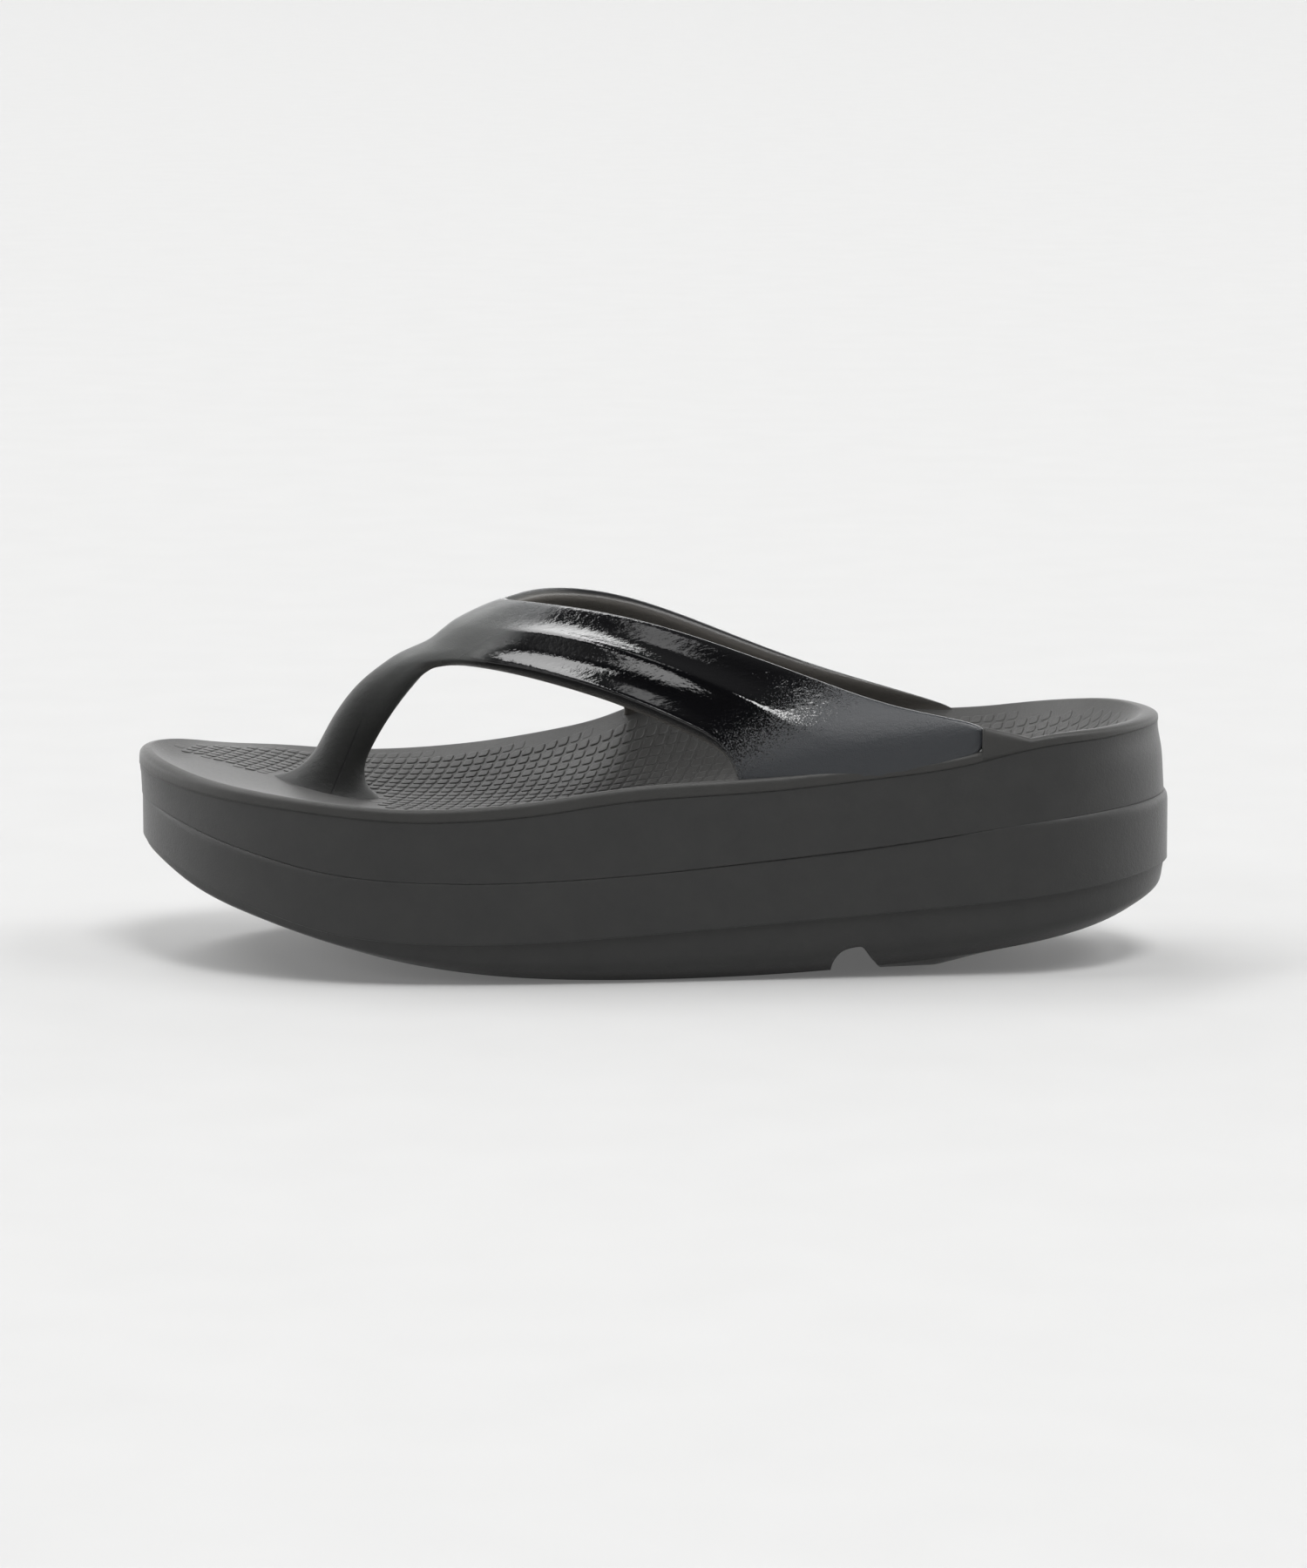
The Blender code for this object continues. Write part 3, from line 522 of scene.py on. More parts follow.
class Plan:
    """The outline's points, anticlockwise from the toe tip, and the spine point that each one faces."""

    def __init__(self):
        front = np.linspace(SPINE["x"][0], SHOULDER_X - SHOULDER_STEP, BODY_ROWS)
        back = np.linspace(SHOULDER_X + SHOULDER_STEP, SPINE["x"][-1], SHOULDER_ROWS)
        body = np.concatenate((front, back))
        self.spine = np.stack((body, SPINE_Y(body)), axis=1)
        x, y, row, side_of = [], [], [], []
        for side in (LATERAL, MEDIAL):
            toe = cap_x(TOE_ROUND_START[side], TOE_X, body[0])[::-1]
            heel = cap_x(HEEL_ROUND_START, HEEL_X, body[-1])
            run = np.concatenate((toe, body, heel))
            rank = np.clip(np.arange(len(run)) - CAP_STEPS, 0, len(body) - 1)
            if side == MEDIAL:
                run = run[-2:0:-1]
                rank = rank[-2:0:-1]
            x.extend(run)
            y.extend(outline_y(side, run))
            row.extend(rank)
            side_of.extend([side] * len(run))
        self.points = np.stack((x, y), axis=1)
        self.row = np.array(row)
        self.lateral = np.array(side_of) == LATERAL
        along = np.roll(self.points, -1, axis=0) - np.roll(self.points, 1, axis=0)
        along /= np.linalg.norm(along, axis=1)[:, None]
        self.outward = np.stack((along[:, 1], -along[:, 0]), axis=1)

    def inset(self, column):
        """One column of the insets at each outline point."""
        return spline(INSETS["x"], INSETS[column])(self.points[:, 0])

    def rim_z(self):
        """Crest height at each outline point, without the lateral shoulder behind the strap."""
        x = self.points[:, 0]
        return np.where(self.lateral, RIM_Z[LATERAL](x), RIM_Z[MEDIAL](x))

    def parting_z(self):
        """Height of the parting line at each outline point."""
        return self.rim_z() - PARTING_DROP(self.points[:, 0])

    def shoulder(self):
        """How far the lateral shoulder behind the strap stands over the crest."""
        back = (self.points[:, 0] - SHOULDER_X) / SHOULDER_RUN
        rise = SHOULDER_RISE * np.clip(1 - back, 0, 1)
        return np.where(self.lateral & (back >= 0), rise, 0)

    def ring(self, inset, share=0.0):
        """Outline points moved inwards by inset, then by a share of the way to the spine."""
        moved = self.points - np.reshape(inset, (-1, 1)) * self.outward
        return moved + share * (self.spine[self.row] - moved)


PLAN_POINTS = Plan()


def raised(xy, z):
    """Plan points with their heights."""
    return np.column_stack((xy, np.broadcast_to(z, len(xy))))


def level(height, offset, inset, share=0.0):
    """A ring, or the spine where share is 1, at a height that depends on x alone."""
    xy = PLAN_POINTS.spine if share == 1 else PLAN_POINTS.ring(inset, share)
    return raised(xy, height(xy[:, 0]) + offset)


def seat_rings(height, offset, inset):
    """A layer's seat on its neighbour, from the wall to the spine."""
    return [level(height, offset, inset, share) for share in SEAT_SHARES]


def bed_ring(share, edge_z, offset=0.0):
    """A ring of the dished bed, from the crest (share 0) to the spine (share 1)."""
    if share == 1:
        return raised(PLAN_POINTS.spine, SPINE_Z(PLAN_POINTS.spine[:, 0]) + offset)
    low = SPINE_Z(PLAN_POINTS.spine[PLAN_POINTS.row, 0])
    bowl = (1 - share) ** BED_BOWL_POWER
    xy = PLAN_POINTS.ring(PLAN_POINTS.inset("crest"), share)
    return raised(xy, low + (edge_z - low) * bowl + offset)


def rim_rings():
    """Bed surface from the spine up to the crest and over the rounded rim to the parting line."""
    rim = PLAN_POINTS.rim_z()
    shoulder = PLAN_POINTS.shoulder()
    rings = []
    for share in np.linspace(1, 0, BED_RINGS) ** BED_RING_POWER:
        rings.append(bed_ring(share, rim + shoulder * (1 - smooth_step(*SHOULDER_SHARES, share))))
    crest_row = len(rings) - 1
    crest = rim + shoulder
    parting = PLAN_POINTS.inset("parting")
    roll = PLAN_POINTS.inset("crest") - parting
    rows = np.arange(len(RIM_ROUND["down"]))
    across = spline(rows, RIM_ROUND["across"])
    down = spline(rows, RIM_ROUND["down"])
    for place in np.linspace(0, rows[-1], RIM_RINGS + 1)[1:]:
        drop = down(place) * (PLAN_POINTS.parting_z() - crest)
        rings.append(raised(PLAN_POINTS.ring(parting + across(place) * roll), crest + drop))
    for _ in range(CREST_SMOOTHING):
        for k in range(crest_row - CREST_REACH, crest_row + CREST_REACH + 1):
            rings[k] = (rings[k - 1] + 2 * rings[k] + rings[k + 1]) / 4
    return rings


def under_bed_rings(offset=0.0):
    """The bed's underside, from under the parting line down to a full thickness under the spine."""
    edge_z = PLAN_POINTS.rim_z()
    inset = PLAN_POINTS.inset("parting")
    tuck = raised(PLAN_POINTS.ring(inset + LIP), PLAN_POINTS.parting_z() + offset)
    return [tuck] + [bed_ring(share, edge_z, offset - BED_THICKNESS) for share in UNDER_SHARES]


def step_tuck():
    """How far a layer's lower edge turns in: fully along the middle, not at toe and heel."""
    x = PLAN_POINTS.points[:, 0]
    return STEP_INSET * smooth_step(*STEP_FRONT, x) * (1 - smooth_step(*STEP_BACK, x))


def wall_rings(top_z, bottom_z, inset_at, tuck=0.0):
    """Wall rows from top to bottom. inset_at gives the inset a share of the way down.

    The lowest part turns in by tuck on a quarter ellipse.
    """
    rings = []
    height = top_z - bottom_z
    for share in smooth_step(0, 1, np.linspace(0, 1, WALL_RINGS)):
        z = top_z - share * height
        turn = np.clip(1 - (z - bottom_z) / STEP_ROUND, 0, 1)
        rings.append(raised(PLAN_POINTS.ring(inset_at(share) + tuck * (1 - np.sqrt(1 - turn**2))), z))
    return rings


def shell_mesh(name, rings):
    """Closed mesh through rings that run from a top spine over the wall to a bottom spine."""
    points = np.concatenate(rings)
    starts = np.cumsum([0] + [len(ring) for ring in rings[:-1]])
    count = len(PLAN_POINTS.points)
    ids = []
    for start, ring in zip(starts, rings):
        ids.append(start + (np.arange(count) if len(ring) == count else PLAN_POINTS.row))
    faces = []
    for upper, lower in zip(ids, ids[1:]):
        corners = np.stack((lower, np.roll(lower, -1), np.roll(upper, -1), upper), axis=1)
        for quad in corners.tolist():
            face = list(dict.fromkeys(quad))
            if len(face) > 2:
                faces.append(face)
    mesh = bpy.data.meshes.new(name)
    mesh.from_pydata(points.tolist(), [], faces)
    mesh.shade_smooth()
    return mesh


def add_object(name, mesh, material):
    """Puts a mesh in the scene under its name."""
    obj = bpy.data.objects.new(name, mesh)
    bpy.context.scene.collection.objects.link(obj)
    mesh.materials.append(material)
    return obj


def add_piece(name, mesh, material, node=None):
    """A piece of the sandal that rides on its one body and may stand for a node."""
    piece = add_object(name, mesh, material)
    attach(piece, "root")
    if node:
        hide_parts(node)
    return piece


def bake_modifiers(obj):
    """Puts the result of an object's modifiers into its mesh."""
    graph = bpy.context.evaluated_depsgraph_get()
    result = bpy.data.meshes.new_from_object(obj.evaluated_get(graph))
    obj.modifiers.clear()
    obj.data = result


def tread_floor(x):
    """Height of the tread's middle, flat on the ground between forefoot and heel."""
    return np.maximum(TREAD_MIDDLE(x), 0)


def tread_ring(inward, crown):
    """A ring of the tread: crown is the share of the edge's lift over the middle that is left."""
    xy = PLAN_POINTS.ring(PLAN_POINTS.inset("tread"), inward)
    x = xy[:, 0]
    return raised(xy, tread_floor(x) + crown * (TREAD_EDGE(x) - tread_floor(x)))


def notch_mesh():
    """Prism of the flex notch, wider than the sole."""
    place = np.arange(len(NOTCH["x"]))
    fine = np.linspace(0, place[-1], NOTCH_POINTS)
    profile = list(zip(spline(place, NOTCH["x"])(fine), spline(place, NOTCH["z"])(fine)))
    count = len(profile)
    points = [(x, y, z) for y in (-NOTCH_REACH, NOTCH_REACH) for x, z in profile]
    faces = [list(range(count - 1, -1, -1)), list(range(count, 2 * count))]
    for k in range(count):
        after = (k + 1) % count
        faces.append([k, after, after + count, k + count])
    mesh = bpy.data.meshes.new("notch_cutter")
    mesh.from_pydata(points, [], faces)
    return mesh


def cut_notch(outsole, material):
    """Cuts the flex notch across the ground layer."""
    cutter = add_object("notch_cutter", notch_mesh(), material)
    cut = outsole.modifiers.new("notch", "BOOLEAN")
    cut.operation = "DIFFERENCE"
    cut.object = cutter
    cut.solver = "MANIFOLD"
    bake_modifiers(outsole)
    bpy.data.objects.remove(cutter)


def build_outsole(material):
    """Ground layer: rounded lower edge, toe spring, crowned heel, flex notch."""
    x = PLAN_POINTS.points[:, 0]
    widest = PLAN_POINTS.inset("lower")
    tread = PLAN_POINTS.inset("tread")
    run = tread - widest
    inset = spline(OUTSOLE_WALL["down"], OUTSOLE_WALL["inset"])
    top = LOWER_STEP(x) - HAIRLINE / 2
    bottom = TREAD_EDGE(PLAN_POINTS.ring(tread)[:, 0])
    wall = wall_rings(top, bottom, lambda down: widest + inset(down) * run)
    rings = seat_rings(LOWER_STEP, -HAIRLINE / 2, widest + inset(0) * run)[::-1] + wall[1:-1]
    crown = spline(TREAD["inward"], TREAD["crown"])
    for inward in np.linspace(0, 1, TREAD_RINGS)[:-1]:
        rings.append(tread_ring(inward, crown(inward)))
    rings.append(level(tread_floor, 0, 0, 1))
    mesh = shell_mesh("sole_ground_layer", rings)
    cut_notch(add_piece("sole_ground_layer", mesh, material, "outsole"), material)


def build_midsole_lower(material):
    """Middle layer between the two step lines, its wall slightly full, its lower edge rounded."""
    x = PLAN_POINTS.points[:, 0]
    widest = PLAN_POINTS.inset("lower")
    inset = spline(LOWER_WALL["down"], LOWER_WALL["inset"])
    bevel = np.maximum(step_tuck(), PLAN_POINTS.inset("upper") - widest)
    top = UPPER_STEP(x) - HAIRLINE / 2
    bottom = LOWER_STEP(x) + HAIRLINE / 2
    wall = wall_rings(top, bottom, lambda down: widest + inset(down) * bevel, step_tuck())
    rings = seat_rings(UPPER_STEP, -HAIRLINE / 2, widest + bevel)[::-1] + wall[1:-1]
    rings += seat_rings(LOWER_STEP, HAIRLINE / 2, widest + step_tuck())
    mesh = shell_mesh("sole_lower_layer", rings)
    add_piece("sole_lower_layer", mesh, material, "midsole_lower")


def build_midsole_upper(material):
    """Upper layer: carries the bed, flares a little from the rim's lip to its rounded lower edge."""
    x = PLAN_POINTS.points[:, 0]
    widest = PLAN_POINTS.inset("upper")
    lip = PLAN_POINTS.inset("parting") + LIP
    flare = spline(UPPER_WALL["down"], UPPER_WALL["flare"])
    top = PLAN_POINTS.parting_z() - HAIRLINE
    bottom = UPPER_STEP(x) + HAIRLINE / 2
    wall = wall_rings(top, bottom, lambda down: lip + flare(down) * (widest - lip), step_tuck())
    rings = under_bed_rings(-HAIRLINE)[::-1] + wall[1:-1]
    rings += seat_rings(UPPER_STEP, HAIRLINE / 2, widest + step_tuck())
    mesh = shell_mesh("sole_upper_layer", rings)
    add_piece("sole_upper_layer", mesh, material, "midsole_upper")


def build_footbed(material):
    """Dished bed with its rounded rim, arch, heel cup and the shoulder behind the lateral strap."""
    mesh = shell_mesh("bed", rim_rings() + under_bed_rings())
    return add_piece("bed", mesh, material, "footbed")


def strap_stations():
    """Section places from the lateral tail over the toe post (0) to the medial tail."""
    arm = np.concatenate((ROOT_STATIONS, ARM_STATIONS, TAIL_STATIONS))
    return np.concatenate((-arm[::-1], (0.0,), arm))


def strap_values(stations):
    """Each strap column at the stations."""
    last = len(STRAP[LATERAL]["wall"]) - 1
    rows = np.arange(-last, last + 1.0)
    values = {}
    for column in STRAP_COLUMNS.split():
        joined = np.concatenate((STRAP[LATERAL][column][:0:-1], STRAP[MEDIAL][column]))
        values[column] = spline(rows, joined)(stations)
    return values


def strap_sections():
    """Strap points as an array of sections by profile points."""
    values = strap_values(strap_stations())
    top = np.stack([values["top_" + axis] for axis in "xyz"], axis=1)
    low = np.stack([values["low_" + axis] for axis in "xyz"], axis=1)
    chord = top - low
    outward = np.cross(chord, np.gradient((top + low) / 2, axis=0))
    outward /= np.linalg.norm(outward, axis=1)[:, None]
    ridge_share = values["ridge_in"] / np.linalg.norm(chord, axis=1)
    along = PROFILE["width"][None, :] ** (np.log(ridge_share) / math.log(PROFILE_RIDGE))[:, None]
    height = np.outer(values["ridge"], PROFILE["ridge"]) + np.outer(values["wall"], PROFILE["wall"])
    height += values["fullness"][:, None] * 4 * along * (1 - along)
    spread = along[:, :, None] * chord[:, None, :]
    return low[:, None, :] + spread + height[:, :, None] * outward[:, None, :]


def post_rings():
    """Toe post rings, each starting at its front lateral corner and turning to the medial side."""
    front = np.stack((POST["front_x"], np.full_like(POST["front_x"], POST_Y), POST["front_z"]), axis=1)
    back = np.stack((POST["back_x"], np.full_like(POST["back_x"], POST_Y), POST["back_z"]), axis=1)
    across = np.outer(POST["width"], (0.0, 1.0, 0.0))
    turn = (2 * np.arange(POST_RING_POINTS) - 2 * len(ROOT_STATIONS)) * math.pi / POST_RING_POINTS
    forward = np.cos(turn)[None, :, None] * (front - back)[:, None, :] / 2
    sideways = np.sin(turn)[None, :, None] * across[:, None, :]
    sag = np.abs(np.sin(turn))[None, :, None] * np.outer(POST["sag"], (0.0, 0.0, 1.0))[:, None, :]
    return (front + back)[:, None, :] / 2 + forward + sideways - sag


def post_root(width):
    """The sections that the toe post grows from, and the loop of strap points around its root."""
    middle = len(strap_stations()) // 2
    reach = len(ROOT_STATIONS)
    root = list(range(middle - reach, middle + reach + 1))
    loop = [section * width + POST_ROOT_PROFILE[0] for section in root[:-1]]
    loop += [root[-1] * width + point for point in POST_ROOT_PROFILE[:-1]]
    loop += [section * width + POST_ROOT_PROFILE[-1] for section in root[:0:-1]]
    loop += [root[0] * width + point for point in POST_ROOT_PROFILE[:0:-1]]
    return root, loop


def strap_faces(count, width, root):
    """Faces of the strap with both its ends closed, open where the toe post grows out of it."""
    faces = [list(range(width)), list(range(count * width - 1, (count - 1) * width - 1, -1))]
    for section in range(count - 1):
        for point in range(width):
            after = (point + 1) % width
            inside = point in POST_ROOT_PROFILE and after in POST_ROOT_PROFILE
            if inside and root[0] <= section < root[-1]:
                continue
            here = section * width
            faces.append([here + point, here + width + point, here + width + after, here + after])
    return faces


def post_faces(loop, first, rings):
    """Faces of the toe post from the loop round its root down its rings, whose points begin at first."""
    loops = [loop]
    for ring in range(rings):
        start = first + ring * POST_RING_POINTS
        loops.append(list(range(start, start + POST_RING_POINTS)))
    faces = []
    for outer, inner in zip(loops, loops[1:]):
        for k in range(POST_RING_POINTS):
            after = (k + 1) % POST_RING_POINTS
            faces.append([outer[k], inner[k], inner[after], outer[after]])
    return faces + [loops[-1]]


def upper_mesh():
    """Strap and toe post as one closed cage, with the strap's lacquer and lips kept at its points."""
    sections = strap_sections()
    rings = post_rings()
    count, width = sections.shape[:2]
    root, loop = post_root(width)
    points = np.concatenate((sections.reshape(-1, 3), rings.reshape(-1, 3)))
    faces = strap_faces(count, width, root) + post_faces(loop, count * width, len(rings))
    mesh = bpy.data.meshes.new("strap")
    mesh.from_pydata(points.tolist(), [], faces)
    for name, on_post in (("lacquer", 1.0), ("lip", 0.0)):
        finish = mesh.attributes.new(name, "FLOAT", "POINT")
        post = np.full(rings[..., 0].size, on_post)
        finish.data.foreach_set("value", np.append(np.tile(PROFILE[name], count), post))
    mesh.validate()
    return mesh


def drop_loose_points(mesh):
    """Removes the points inside the toe post's root, which no face uses."""
    work = bmesh.new()
    work.from_mesh(mesh)
    loose = [v for v in work.verts if not v.link_faces]
    bmesh.ops.delete(work, geom=loose, context="VERTS")
    bmesh.ops.recalc_face_normals(work, faces=work.faces)
    work.to_mesh(mesh)
    work.free()
    mesh.shade_smooth()


def build_strap(material):
    """Y strap and toe post, smoothed, its ends sunk in the bed."""
    mesh = upper_mesh()
    drop_loose_points(mesh)
    strap = add_piece("strap", mesh, material, "upper")
    smooth = strap.modifiers.new("smooth", "SUBSURF")
    smooth.levels = STRAP_LEVELS
    smooth.render_levels = STRAP_LEVELS
    bake_modifiers(strap)


def pad_places():
    """Plan centres of the pads, in rows along the foot that lean across it."""
    along, across = PAD_PITCH
    columns = int(HEEL_X / along)
    rows = int(PLAN["medial"][0] / across)
    column, row = np.meshgrid(np.arange(-columns, columns + 1), np.arange(-rows, rows + 1))
    y = row * across
    x = column * along + y * PAD_LEAN
    return np.stack((x.ravel(), y.ravel()), axis=1)


def pad_outline():
    """Unit rounded square, anticlockwise."""
    count = 4 * PAD_CORNER_POINTS
    turn = (np.arange(count) + 0.5) * 2 * math.pi / count
    circle = np.stack((np.cos(turn), np.sin(turn)), axis=1)
    return np.sign(circle) * np.abs(circle) ** PAD_SQUARENESS


def pad_strength(places):
    """How far each pad stands out, from 0 at the field's edges and round the toe post to 1."""
    x, y = places.T
    crest = PLAN_POINTS.ring(PLAN_POINTS.inset("crest"))
    gap = crest[None, :, :] - places[:, None, :]
    nearest = np.linalg.norm(gap, axis=2).argmin(axis=1)
    inwards = np.sum(gap[np.arange(len(places)), nearest] * PLAN_POINTS.outward[nearest], axis=1)
    field_x = PAD_FIELD["x"] * MM
    strength = smooth_step(PAD_CREST_CLEAR, PAD_CREST_CLEAR + PAD_FADE, inwards)
    low = np.interp(x, field_x, PAD_FIELD["low"] * MM)
    strength *= smooth_step(0, PAD_FADE, y - low)
    middle = (POST["front_x"][POST_FOOT] + POST["back_x"][POST_FOOT]) / 2
    post = np.hypot((x - middle) / PAD_POST_CLEAR[0], (y - POST_Y) / PAD_POST_CLEAR[1])
    strength *= smooth_step(*PAD_POST_FADE, post)
    return strength * np.interp(x, field_x, PAD_FIELD["relief"])


def pad_points(surface, place, outline, strength):
    """Points of one pad on the bed's surface, ring by ring from its root to its top."""
    points = []
    for size, lift in zip(PAD_RINGS["size"], PAD_RINGS["lift"]):
        rise = lift * strength * PAD_RELIEF if lift else -PAD_ROOT
        for u, v in outline * size:
            above = Vector((place[0] + u + v * PAD_LEAN, place[1] + v, CAD_BOX[1].z))
            hit, normal, _, _ = surface.ray_cast(above, Vector((0, 0, -1)))
            points.append(tuple(hit + normal * rise))
    return points


def pad_faces(start, count):
    """Faces of one closed pad, whose rings of count points begin at start."""
    top = start + (len(PAD_RINGS["size"]) - 1) * count
    faces = []
    for low in range(start, top, count):
        for k in range(count):
            after = (k + 1) % count
            faces.append([low + k, low + after, low + count + after, low + count + k])
    return faces + [list(range(start + count - 1, start - 1, -1)), list(range(top, top + count))]


def build_pads(bed, material):
    """Low raised pads on the bed as one mesh, fading out towards the rim and the toe post."""
    surface = BVHTree.FromObject(bed, bpy.context.evaluated_depsgraph_get())
    outline = pad_outline()
    places = pad_places()
    fills = np.interp(places[:, 0], PAD_FIELD["x"] * MM, PAD_FIELD["fill"])
    points, faces = [], []
    for place, strength, fill in zip(places, pad_strength(places), fills):
        if strength < PAD_MIN:
            continue
        half = np.array((PAD_PITCH[0] * PAD_FILL, PAD_PITCH[1] * fill)) / 2
        faces += pad_faces(len(points), len(outline))
        points += pad_points(surface, place, outline * half, strength)
    mesh = bpy.data.meshes.new("bed_pads")
    mesh.from_pydata(points, [], faces)
    mesh.shade_smooth()
    add_piece("bed_pads", mesh, material)


def new_material(name):
    """A material with its node tree and its shader."""
    material = bpy.data.materials.new(name)
    material.use_nodes = True
    tree = material.node_tree
    return material, tree, tree.nodes["Principled BSDF"]


def add_node(tree, kind, inputs=None, **settings):
    """A node with its settings and inputs: an input is a plain value or another node's socket."""
    node = tree.nodes.new(kind)
    for key, value in settings.items():
        setattr(node, key, value)
    for key, value in (inputs or {}).items():
        if isinstance(value, bpy.types.NodeSocket):
            tree.links.new(value, node.inputs[key])
        else:
            node.inputs[key].default_value = value
    return node


def place_socket(tree):
    """Coordinates in metres in the sandal's frame."""
    return add_node(tree, "ShaderNodeTexCoord").outputs["Object"]


def attribute_socket(tree, name):
    """A value that the mesh holds at its points."""
    return add_node(tree, "ShaderNodeAttribute", attribute_name=name).outputs["Fac"]


def noise_socket(tree, place, size, layers, strength):
    """Noise between 0 and 1 with features about size metres wide, and finer layers over them."""
    inputs = {"Vector": place, "Scale": 1 / size, "Detail": layers, "Roughness": strength}
    return add_node(tree, "ShaderNodeTexNoise", inputs).outputs[0]


def range_socket(tree, value, low, high, to_low, to_high, smooth=False):
    """A value mapped from one range to another, held at the ends."""
    node = add_node(
        tree,
        "ShaderNodeMapRange",
        {"Value": value, "From Min": low, "From Max": high, "To Min": to_low, "To Max": to_high},
        interpolation_type="SMOOTHSTEP" if smooth else "LINEAR",
    )
    return node.outputs["Result"]


def math_socket(tree, operation, first, second=0.0):
    """One sum, product or the like of two values."""
    return add_node(tree, "ShaderNodeMath", {0: first, 1: second}, operation=operation).outputs[0]


def product_socket(tree, first, *others):
    """Product of two or more values."""
    for other in others:
        first = math_socket(tree, "MULTIPLY", first, other)
    return first


def colour_socket(tree, value, first, second):
    """A colour between two, by a value from 0 to 1. Each is three shares or another node's socket."""
    node = add_node(tree, "ShaderNodeMix", data_type="RGBA")
    tree.links.new(value, node.inputs["Factor"])
    for key, colour in (("A", first), ("B", second)):
        socket = next(s for s in node.inputs if s.name == key and s.type == "RGBA")
        if isinstance(colour, bpy.types.NodeSocket):
            tree.links.new(colour, socket)
        else:
            socket.default_value = (*colour, 1)
    return next(s for s in node.outputs if s.type == "RGBA")


def bump_socket(tree, height, depth, normal=None):
    """Bump of a height between 0 and 1, depth metres high."""
    inputs = {"Height": height, "Distance": depth, "Strength": 1.0}
    if normal:
        inputs["Normal"] = normal
    return add_node(tree, "ShaderNodeBump", inputs).outputs["Normal"]


def foam_material(name, dark, light, roughness):
    """Moulded foam with a fine pebbled skin, faint mottling and dull sheen."""
    material, tree, shader = new_material(name)
    place = place_socket(tree)
    mottle = noise_socket(tree, place, *MOTTLE)
    grain = noise_socket(tree, place, *GRAIN)
    pebble = noise_socket(tree, place, *PEBBLE)
    blend = product_socket(tree, mottle, MOTTLE_SHARE)
    blend = math_socket(tree, "ADD", blend, product_socket(tree, grain, GRAIN_SHARE))
    colour = colour_socket(tree, range_socket(tree, blend, *NOISE_REACH, 0, 1), dark, light)
    rough = range_socket(tree, grain, *NOISE_REACH, *roughness)
    normal = bump_socket(tree, pebble, PEBBLE_DEPTH, bump_socket(tree, grain, GRAIN_DEPTH))
    tree.links.new(colour, shader.inputs["Base Color"])
    tree.links.new(rough, shader.inputs["Roughness"])
    tree.links.new(normal, shader.inputs["Normal"])
    shader.inputs["Sheen Weight"].default_value = FOAM_SHEEN
    shader.inputs["Sheen Roughness"].default_value = FOAM_SHEEN_ROUGHNESS
    return material


def seam_socket(tree, along, height):
    """1 on the mould seam down the toe post's side, 0 beside it."""
    line = math_socket(tree, "SUBTRACT", along, product_socket(tree, height, SEAM_SLANT))
    away = math_socket(tree, "ABSOLUTE", math_socket(tree, "SUBTRACT", line, SEAM_PLACE))
    below = range_socket(tree, height, *SEAM_TOP, 1, 0, True)
    return product_socket(tree, range_socket(tree, away, *SEAM_HALF, 1, 0, True), below)


def lacquer_socket(tree, along, height, speckle):
    """1 between the lacquer's clean front edge and its speckled back edge, 0 outside them."""
    line = math_socket(tree, "SUBTRACT", along, product_socket(tree, height, LACQUER_SLANT))
    spread = product_socket(tree, math_socket(tree, "SUBTRACT", speckle, NOISE_MIDDLE), SPECKLE_SPREAD)
    front = range_socket(tree, line, *LACQUER_FRONT, 0, 1, True)
    back = range_socket(tree, math_socket(tree, "ADD", line, spread), *LACQUER_BACK, 1, 0, True)
    return product_socket(tree, front, back)


def satin_socket(tree, along, outside, seam):
    """Colour of the bare strap: post, nose (painted highlight), tails, the seam's dark line, and the inside
    (painted fill light).
    """
    nose = range_socket(tree, along, *NOSE_PAINTED_HIGHLIGHT_REACH, 0, 1, True)
    post = range_socket(tree, along, *POST_REACH, 0, 1, True)
    # painted highlight: the colour turns lighter towards the nose
    satin = colour_socket(tree, nose, NOSE_PAINTED_HIGHLIGHT_COLOUR, SATIN_COLOUR)
    satin = colour_socket(tree, post, POST_COLOUR, satin)
    satin = colour_socket(tree, seam, satin, LACQUER_COLOUR)
    # painted fill light: the strap's inside is made lighter than its own tone
    return colour_socket(tree, outside, INSIDE_PAINTED_FILL_COLOUR, satin)


def strap_roughness(tree, along, polish):
    """Roughness of the bare strap along the foot, and the lacquer's where it is polished."""
    tails = range_socket(tree, along, *SATIN_REACH, *SATIN_ROUGHNESS, True)
    post = range_socket(tree, along, *POST_REACH, *POST_ROUGHNESS, True)
    dull = math_socket(tree, "MAXIMUM", tails, post)
    gain = product_socket(tree, math_socket(tree, "SUBTRACT", dull, LACQUER_ROUGHNESS), polish)
    return math_socket(tree, "SUBTRACT", dull, gain)


def strap_normal(tree, place, speckle, gloss, seam):
    """Bump of the orange peel, of the speckle where there is no lacquer, and of the seam."""
    drawn = add_node(tree, "ShaderNodeVectorMath", {0: place, 1: PEEL_STRETCH}, operation="MULTIPLY")
    peel = noise_socket(tree, drawn.outputs[0], *PEEL)
    pits = product_socket(tree, speckle, math_socket(tree, "SUBTRACT", 1.0, gloss))
    normal = bump_socket(tree, peel, PEEL_DEPTH)
    normal = bump_socket(tree, pits, SPECKLE_DEPTH, normal)
    return bump_socket(tree, math_socket(tree, "SUBTRACT", 1.0, seam), SEAM_DEPTH, normal)


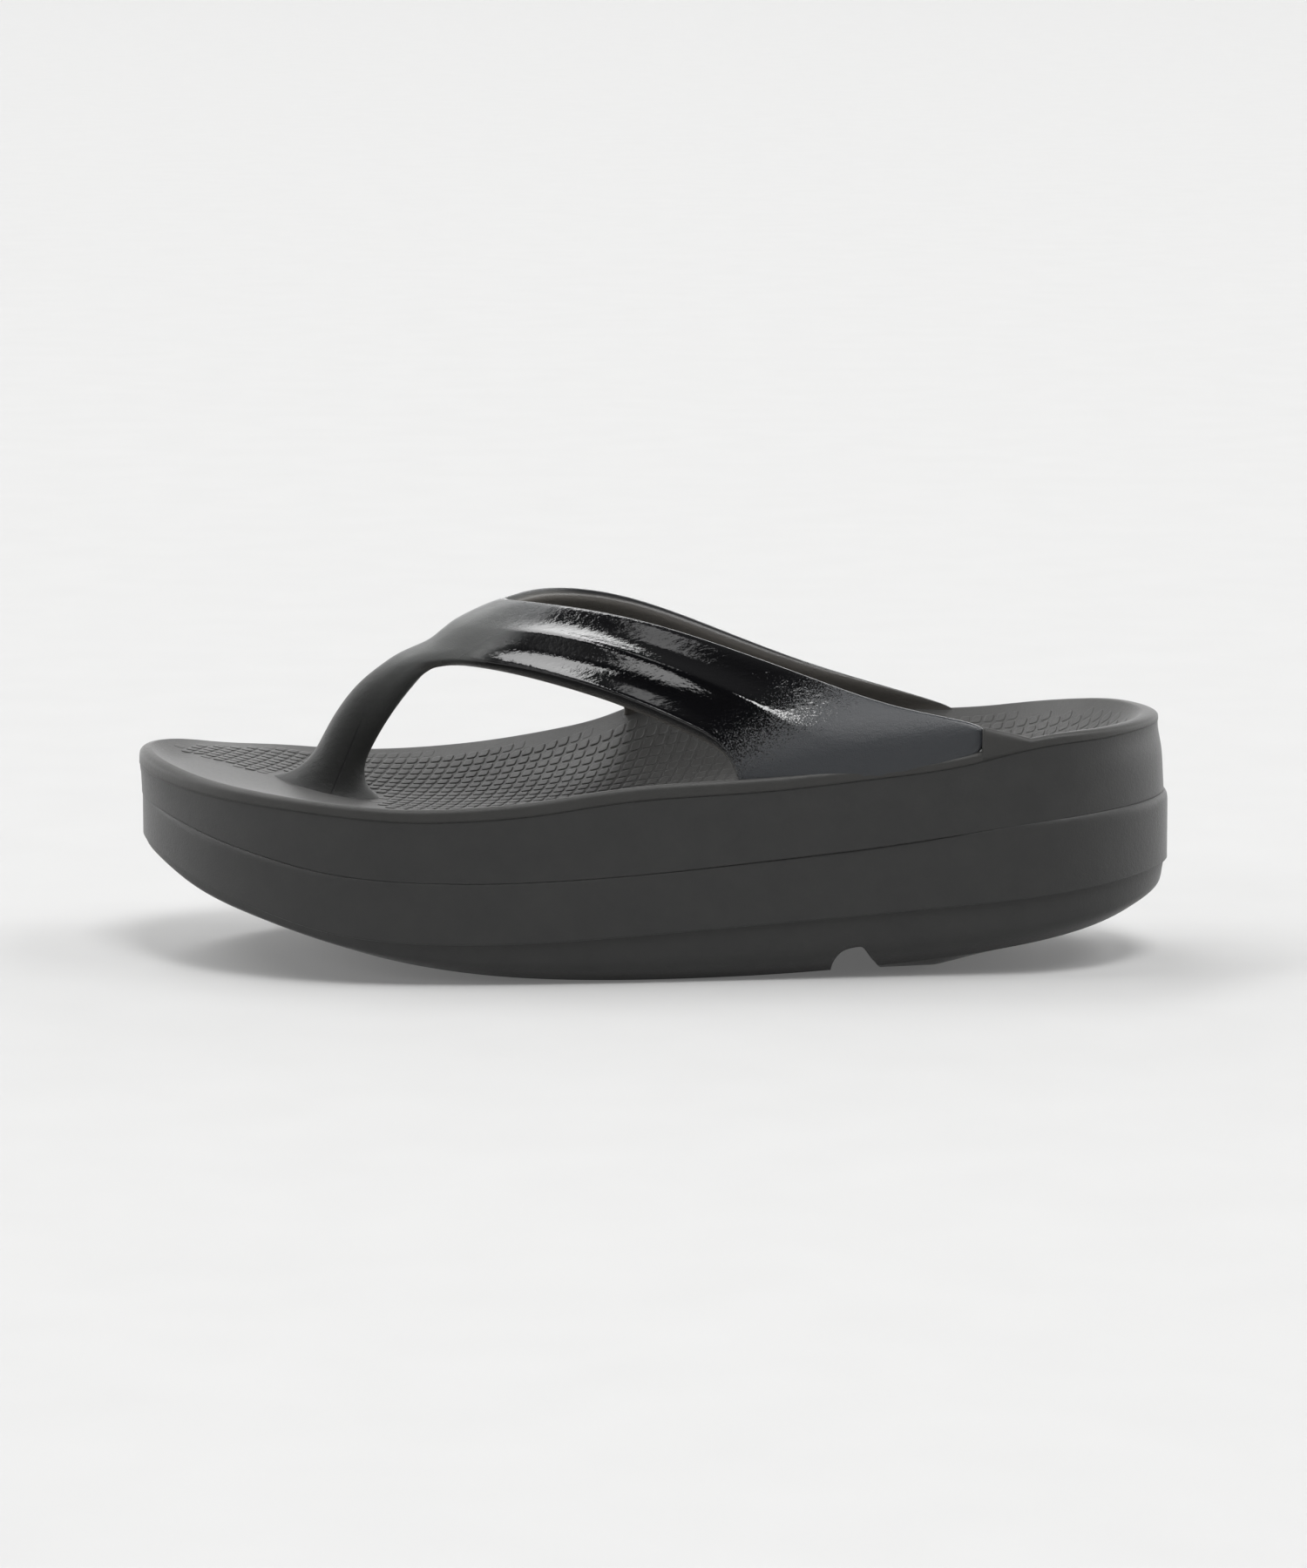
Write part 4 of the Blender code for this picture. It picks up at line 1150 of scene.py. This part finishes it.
def strap_material():
    """Black lacquer with orange peel on the arms' outside, satin on the rest and towards the ends."""
    material, tree, shader = new_material("gloss_strap")
    place = place_socket(tree)
    split = add_node(tree, "ShaderNodeSeparateXYZ", {"Vector": place})
    along = split.outputs["X"]
    height = split.outputs["Z"]
    outside = attribute_socket(tree, "lacquer")
    speckle = noise_socket(tree, place, *SPECKLE)
    arms = range_socket(tree, along, *LACQUER_ROOT, 0, 1, True)
    gloss = product_socket(tree, lacquer_socket(tree, along, height, speckle), outside, arms)
    lips = product_socket(tree, attribute_socket(tree, "lip"), arms)
    polish = math_socket(tree, "MAXIMUM", gloss, lips)
    seam = seam_socket(tree, along, height)
    colour = colour_socket(tree, gloss, satin_socket(tree, along, outside, seam), LACQUER_COLOUR)
    tree.links.new(colour, shader.inputs["Base Color"])
    tree.links.new(strap_roughness(tree, along, polish), shader.inputs["Roughness"])
    tree.links.new(strap_normal(tree, place, speckle, gloss, seam), shader.inputs["Normal"])
    return material


def build_floor():
    """Pale seamless floor, far larger than the view."""
    corners = [(x * FLOOR_REACH, y * FLOOR_REACH, 0) for x, y in ((-1, -1), (1, -1), (1, 1), (-1, 1))]
    mesh = bpy.data.meshes.new("floor")
    mesh.from_pydata(corners, [], [(0, 1, 2, 3)])
    material, tree, shader = new_material("pale_floor")
    mottle = noise_socket(tree, place_socket(tree), *FLOOR_MOTTLE)
    tree.links.new(colour_socket(tree, mottle, FLOOR_DARK, FLOOR_LIGHT), shader.inputs["Base Color"])
    shader.inputs["Roughness"].default_value = 1.0
    shader.inputs["Specular IOR Level"].default_value = 0.0
    shader.inputs["Emission Color"].default_value = WHITE
    shader.inputs["Emission Strength"].default_value = FLOOR_GLOW
    material.cycles.emission_sampling = "NONE"
    add_object("floor", mesh, material)


def build_soft_boxes():
    """Rectangular lamps, so far up that every place on the sandal sees them alike."""
    for k in range(len(SOFT_BOXES["level"])):
        box = {name: column[k] for name, column in SOFT_BOXES.items()}
        lamp = bpy.data.lights.new("soft_box", "AREA")
        lamp.shape = "RECTANGLE"
        lamp.size = 2 * box["half_long"] * BOX_HEIGHT
        lamp.size_y = 2 * box["half_wide"] * BOX_HEIGHT
        lamp.energy = WATTS_PER_LEVEL * lamp.size * lamp.size_y * box["level"]
        holder = bpy.data.objects.new("soft_box", lamp)
        holder.location = BOX_HEIGHT * Vector((box["across"], box["out"], 1))
        holder.rotation_euler = (0, 0, math.radians(box["turn"]))
        bpy.context.scene.collection.objects.link(holder)


def build_light():
    """White studio, bright behind the sandal and to both sides, dim in front and overhead."""
    world = bpy.data.worlds.new("studio")
    bpy.context.scene.world = world
    world.use_nodes = True
    tree = world.node_tree
    direction = add_node(tree, "ShaderNodeTexCoord").outputs["Generated"]
    split = add_node(tree, "ShaderNodeSeparateXYZ", {"Vector": direction})
    x, y, z = (split.outputs[axis] for axis in "XYZ")
    strength = range_socket(tree, y, *STUDIO_TURN, 0, STUDIO_LEVEL[1] - STUDIO_LEVEL[0], True)
    for start, end, extra in zip(*STUDIO_SIDES.values()):
        strength = product_socket(tree, strength, range_socket(tree, x, start, end, 1, 1 + extra, True))
    strength = math_socket(tree, "ADD", strength, STUDIO_LEVEL[0])
    strength = product_socket(tree, strength, range_socket(tree, z, *CEILING, 1, CEILING_LEVEL, True))
    tree.links.new(strength, tree.nodes["Background"].inputs["Strength"])
    tree.nodes["Background"].inputs["Color"].default_value = WHITE


def build_camera():
    """Camera at the photograph's viewing angle and framing."""
    data = bpy.data.cameras.new("camera")
    data.sensor_width = SENSOR
    data.sensor_height = SENSOR
    data.lens = PIXELS_PER_METRE * DISTANCE * SENSOR / PHOTO_HEIGHT
    camera = bpy.data.objects.new("camera", data)
    back = Vector((0, -math.cos(ELEVATION), math.sin(ELEVATION)))
    camera.location = AIM + DISTANCE * back
    camera.rotation_euler = (math.pi / 2 - ELEVATION, 0, 0)
    bpy.context.scene.collection.objects.link(camera)
    bpy.context.scene.camera = camera


def main():
    """Builds the pieces, the finishes, the floor, the light and the camera."""
    side_foam = foam_material("side_foam", **SIDE_FOAM)
    bed_foam = foam_material("bed_foam", **BED_FOAM)
    build_outsole(side_foam)
    build_midsole_lower(side_foam)
    build_midsole_upper(side_foam)
    build_pads(build_footbed(bed_foam), bed_foam)
    build_strap(strap_material())
    build_floor()
    build_light()
    build_soft_boxes()
    build_camera()
    bpy.context.scene.view_settings.view_transform = "Standard"


main()
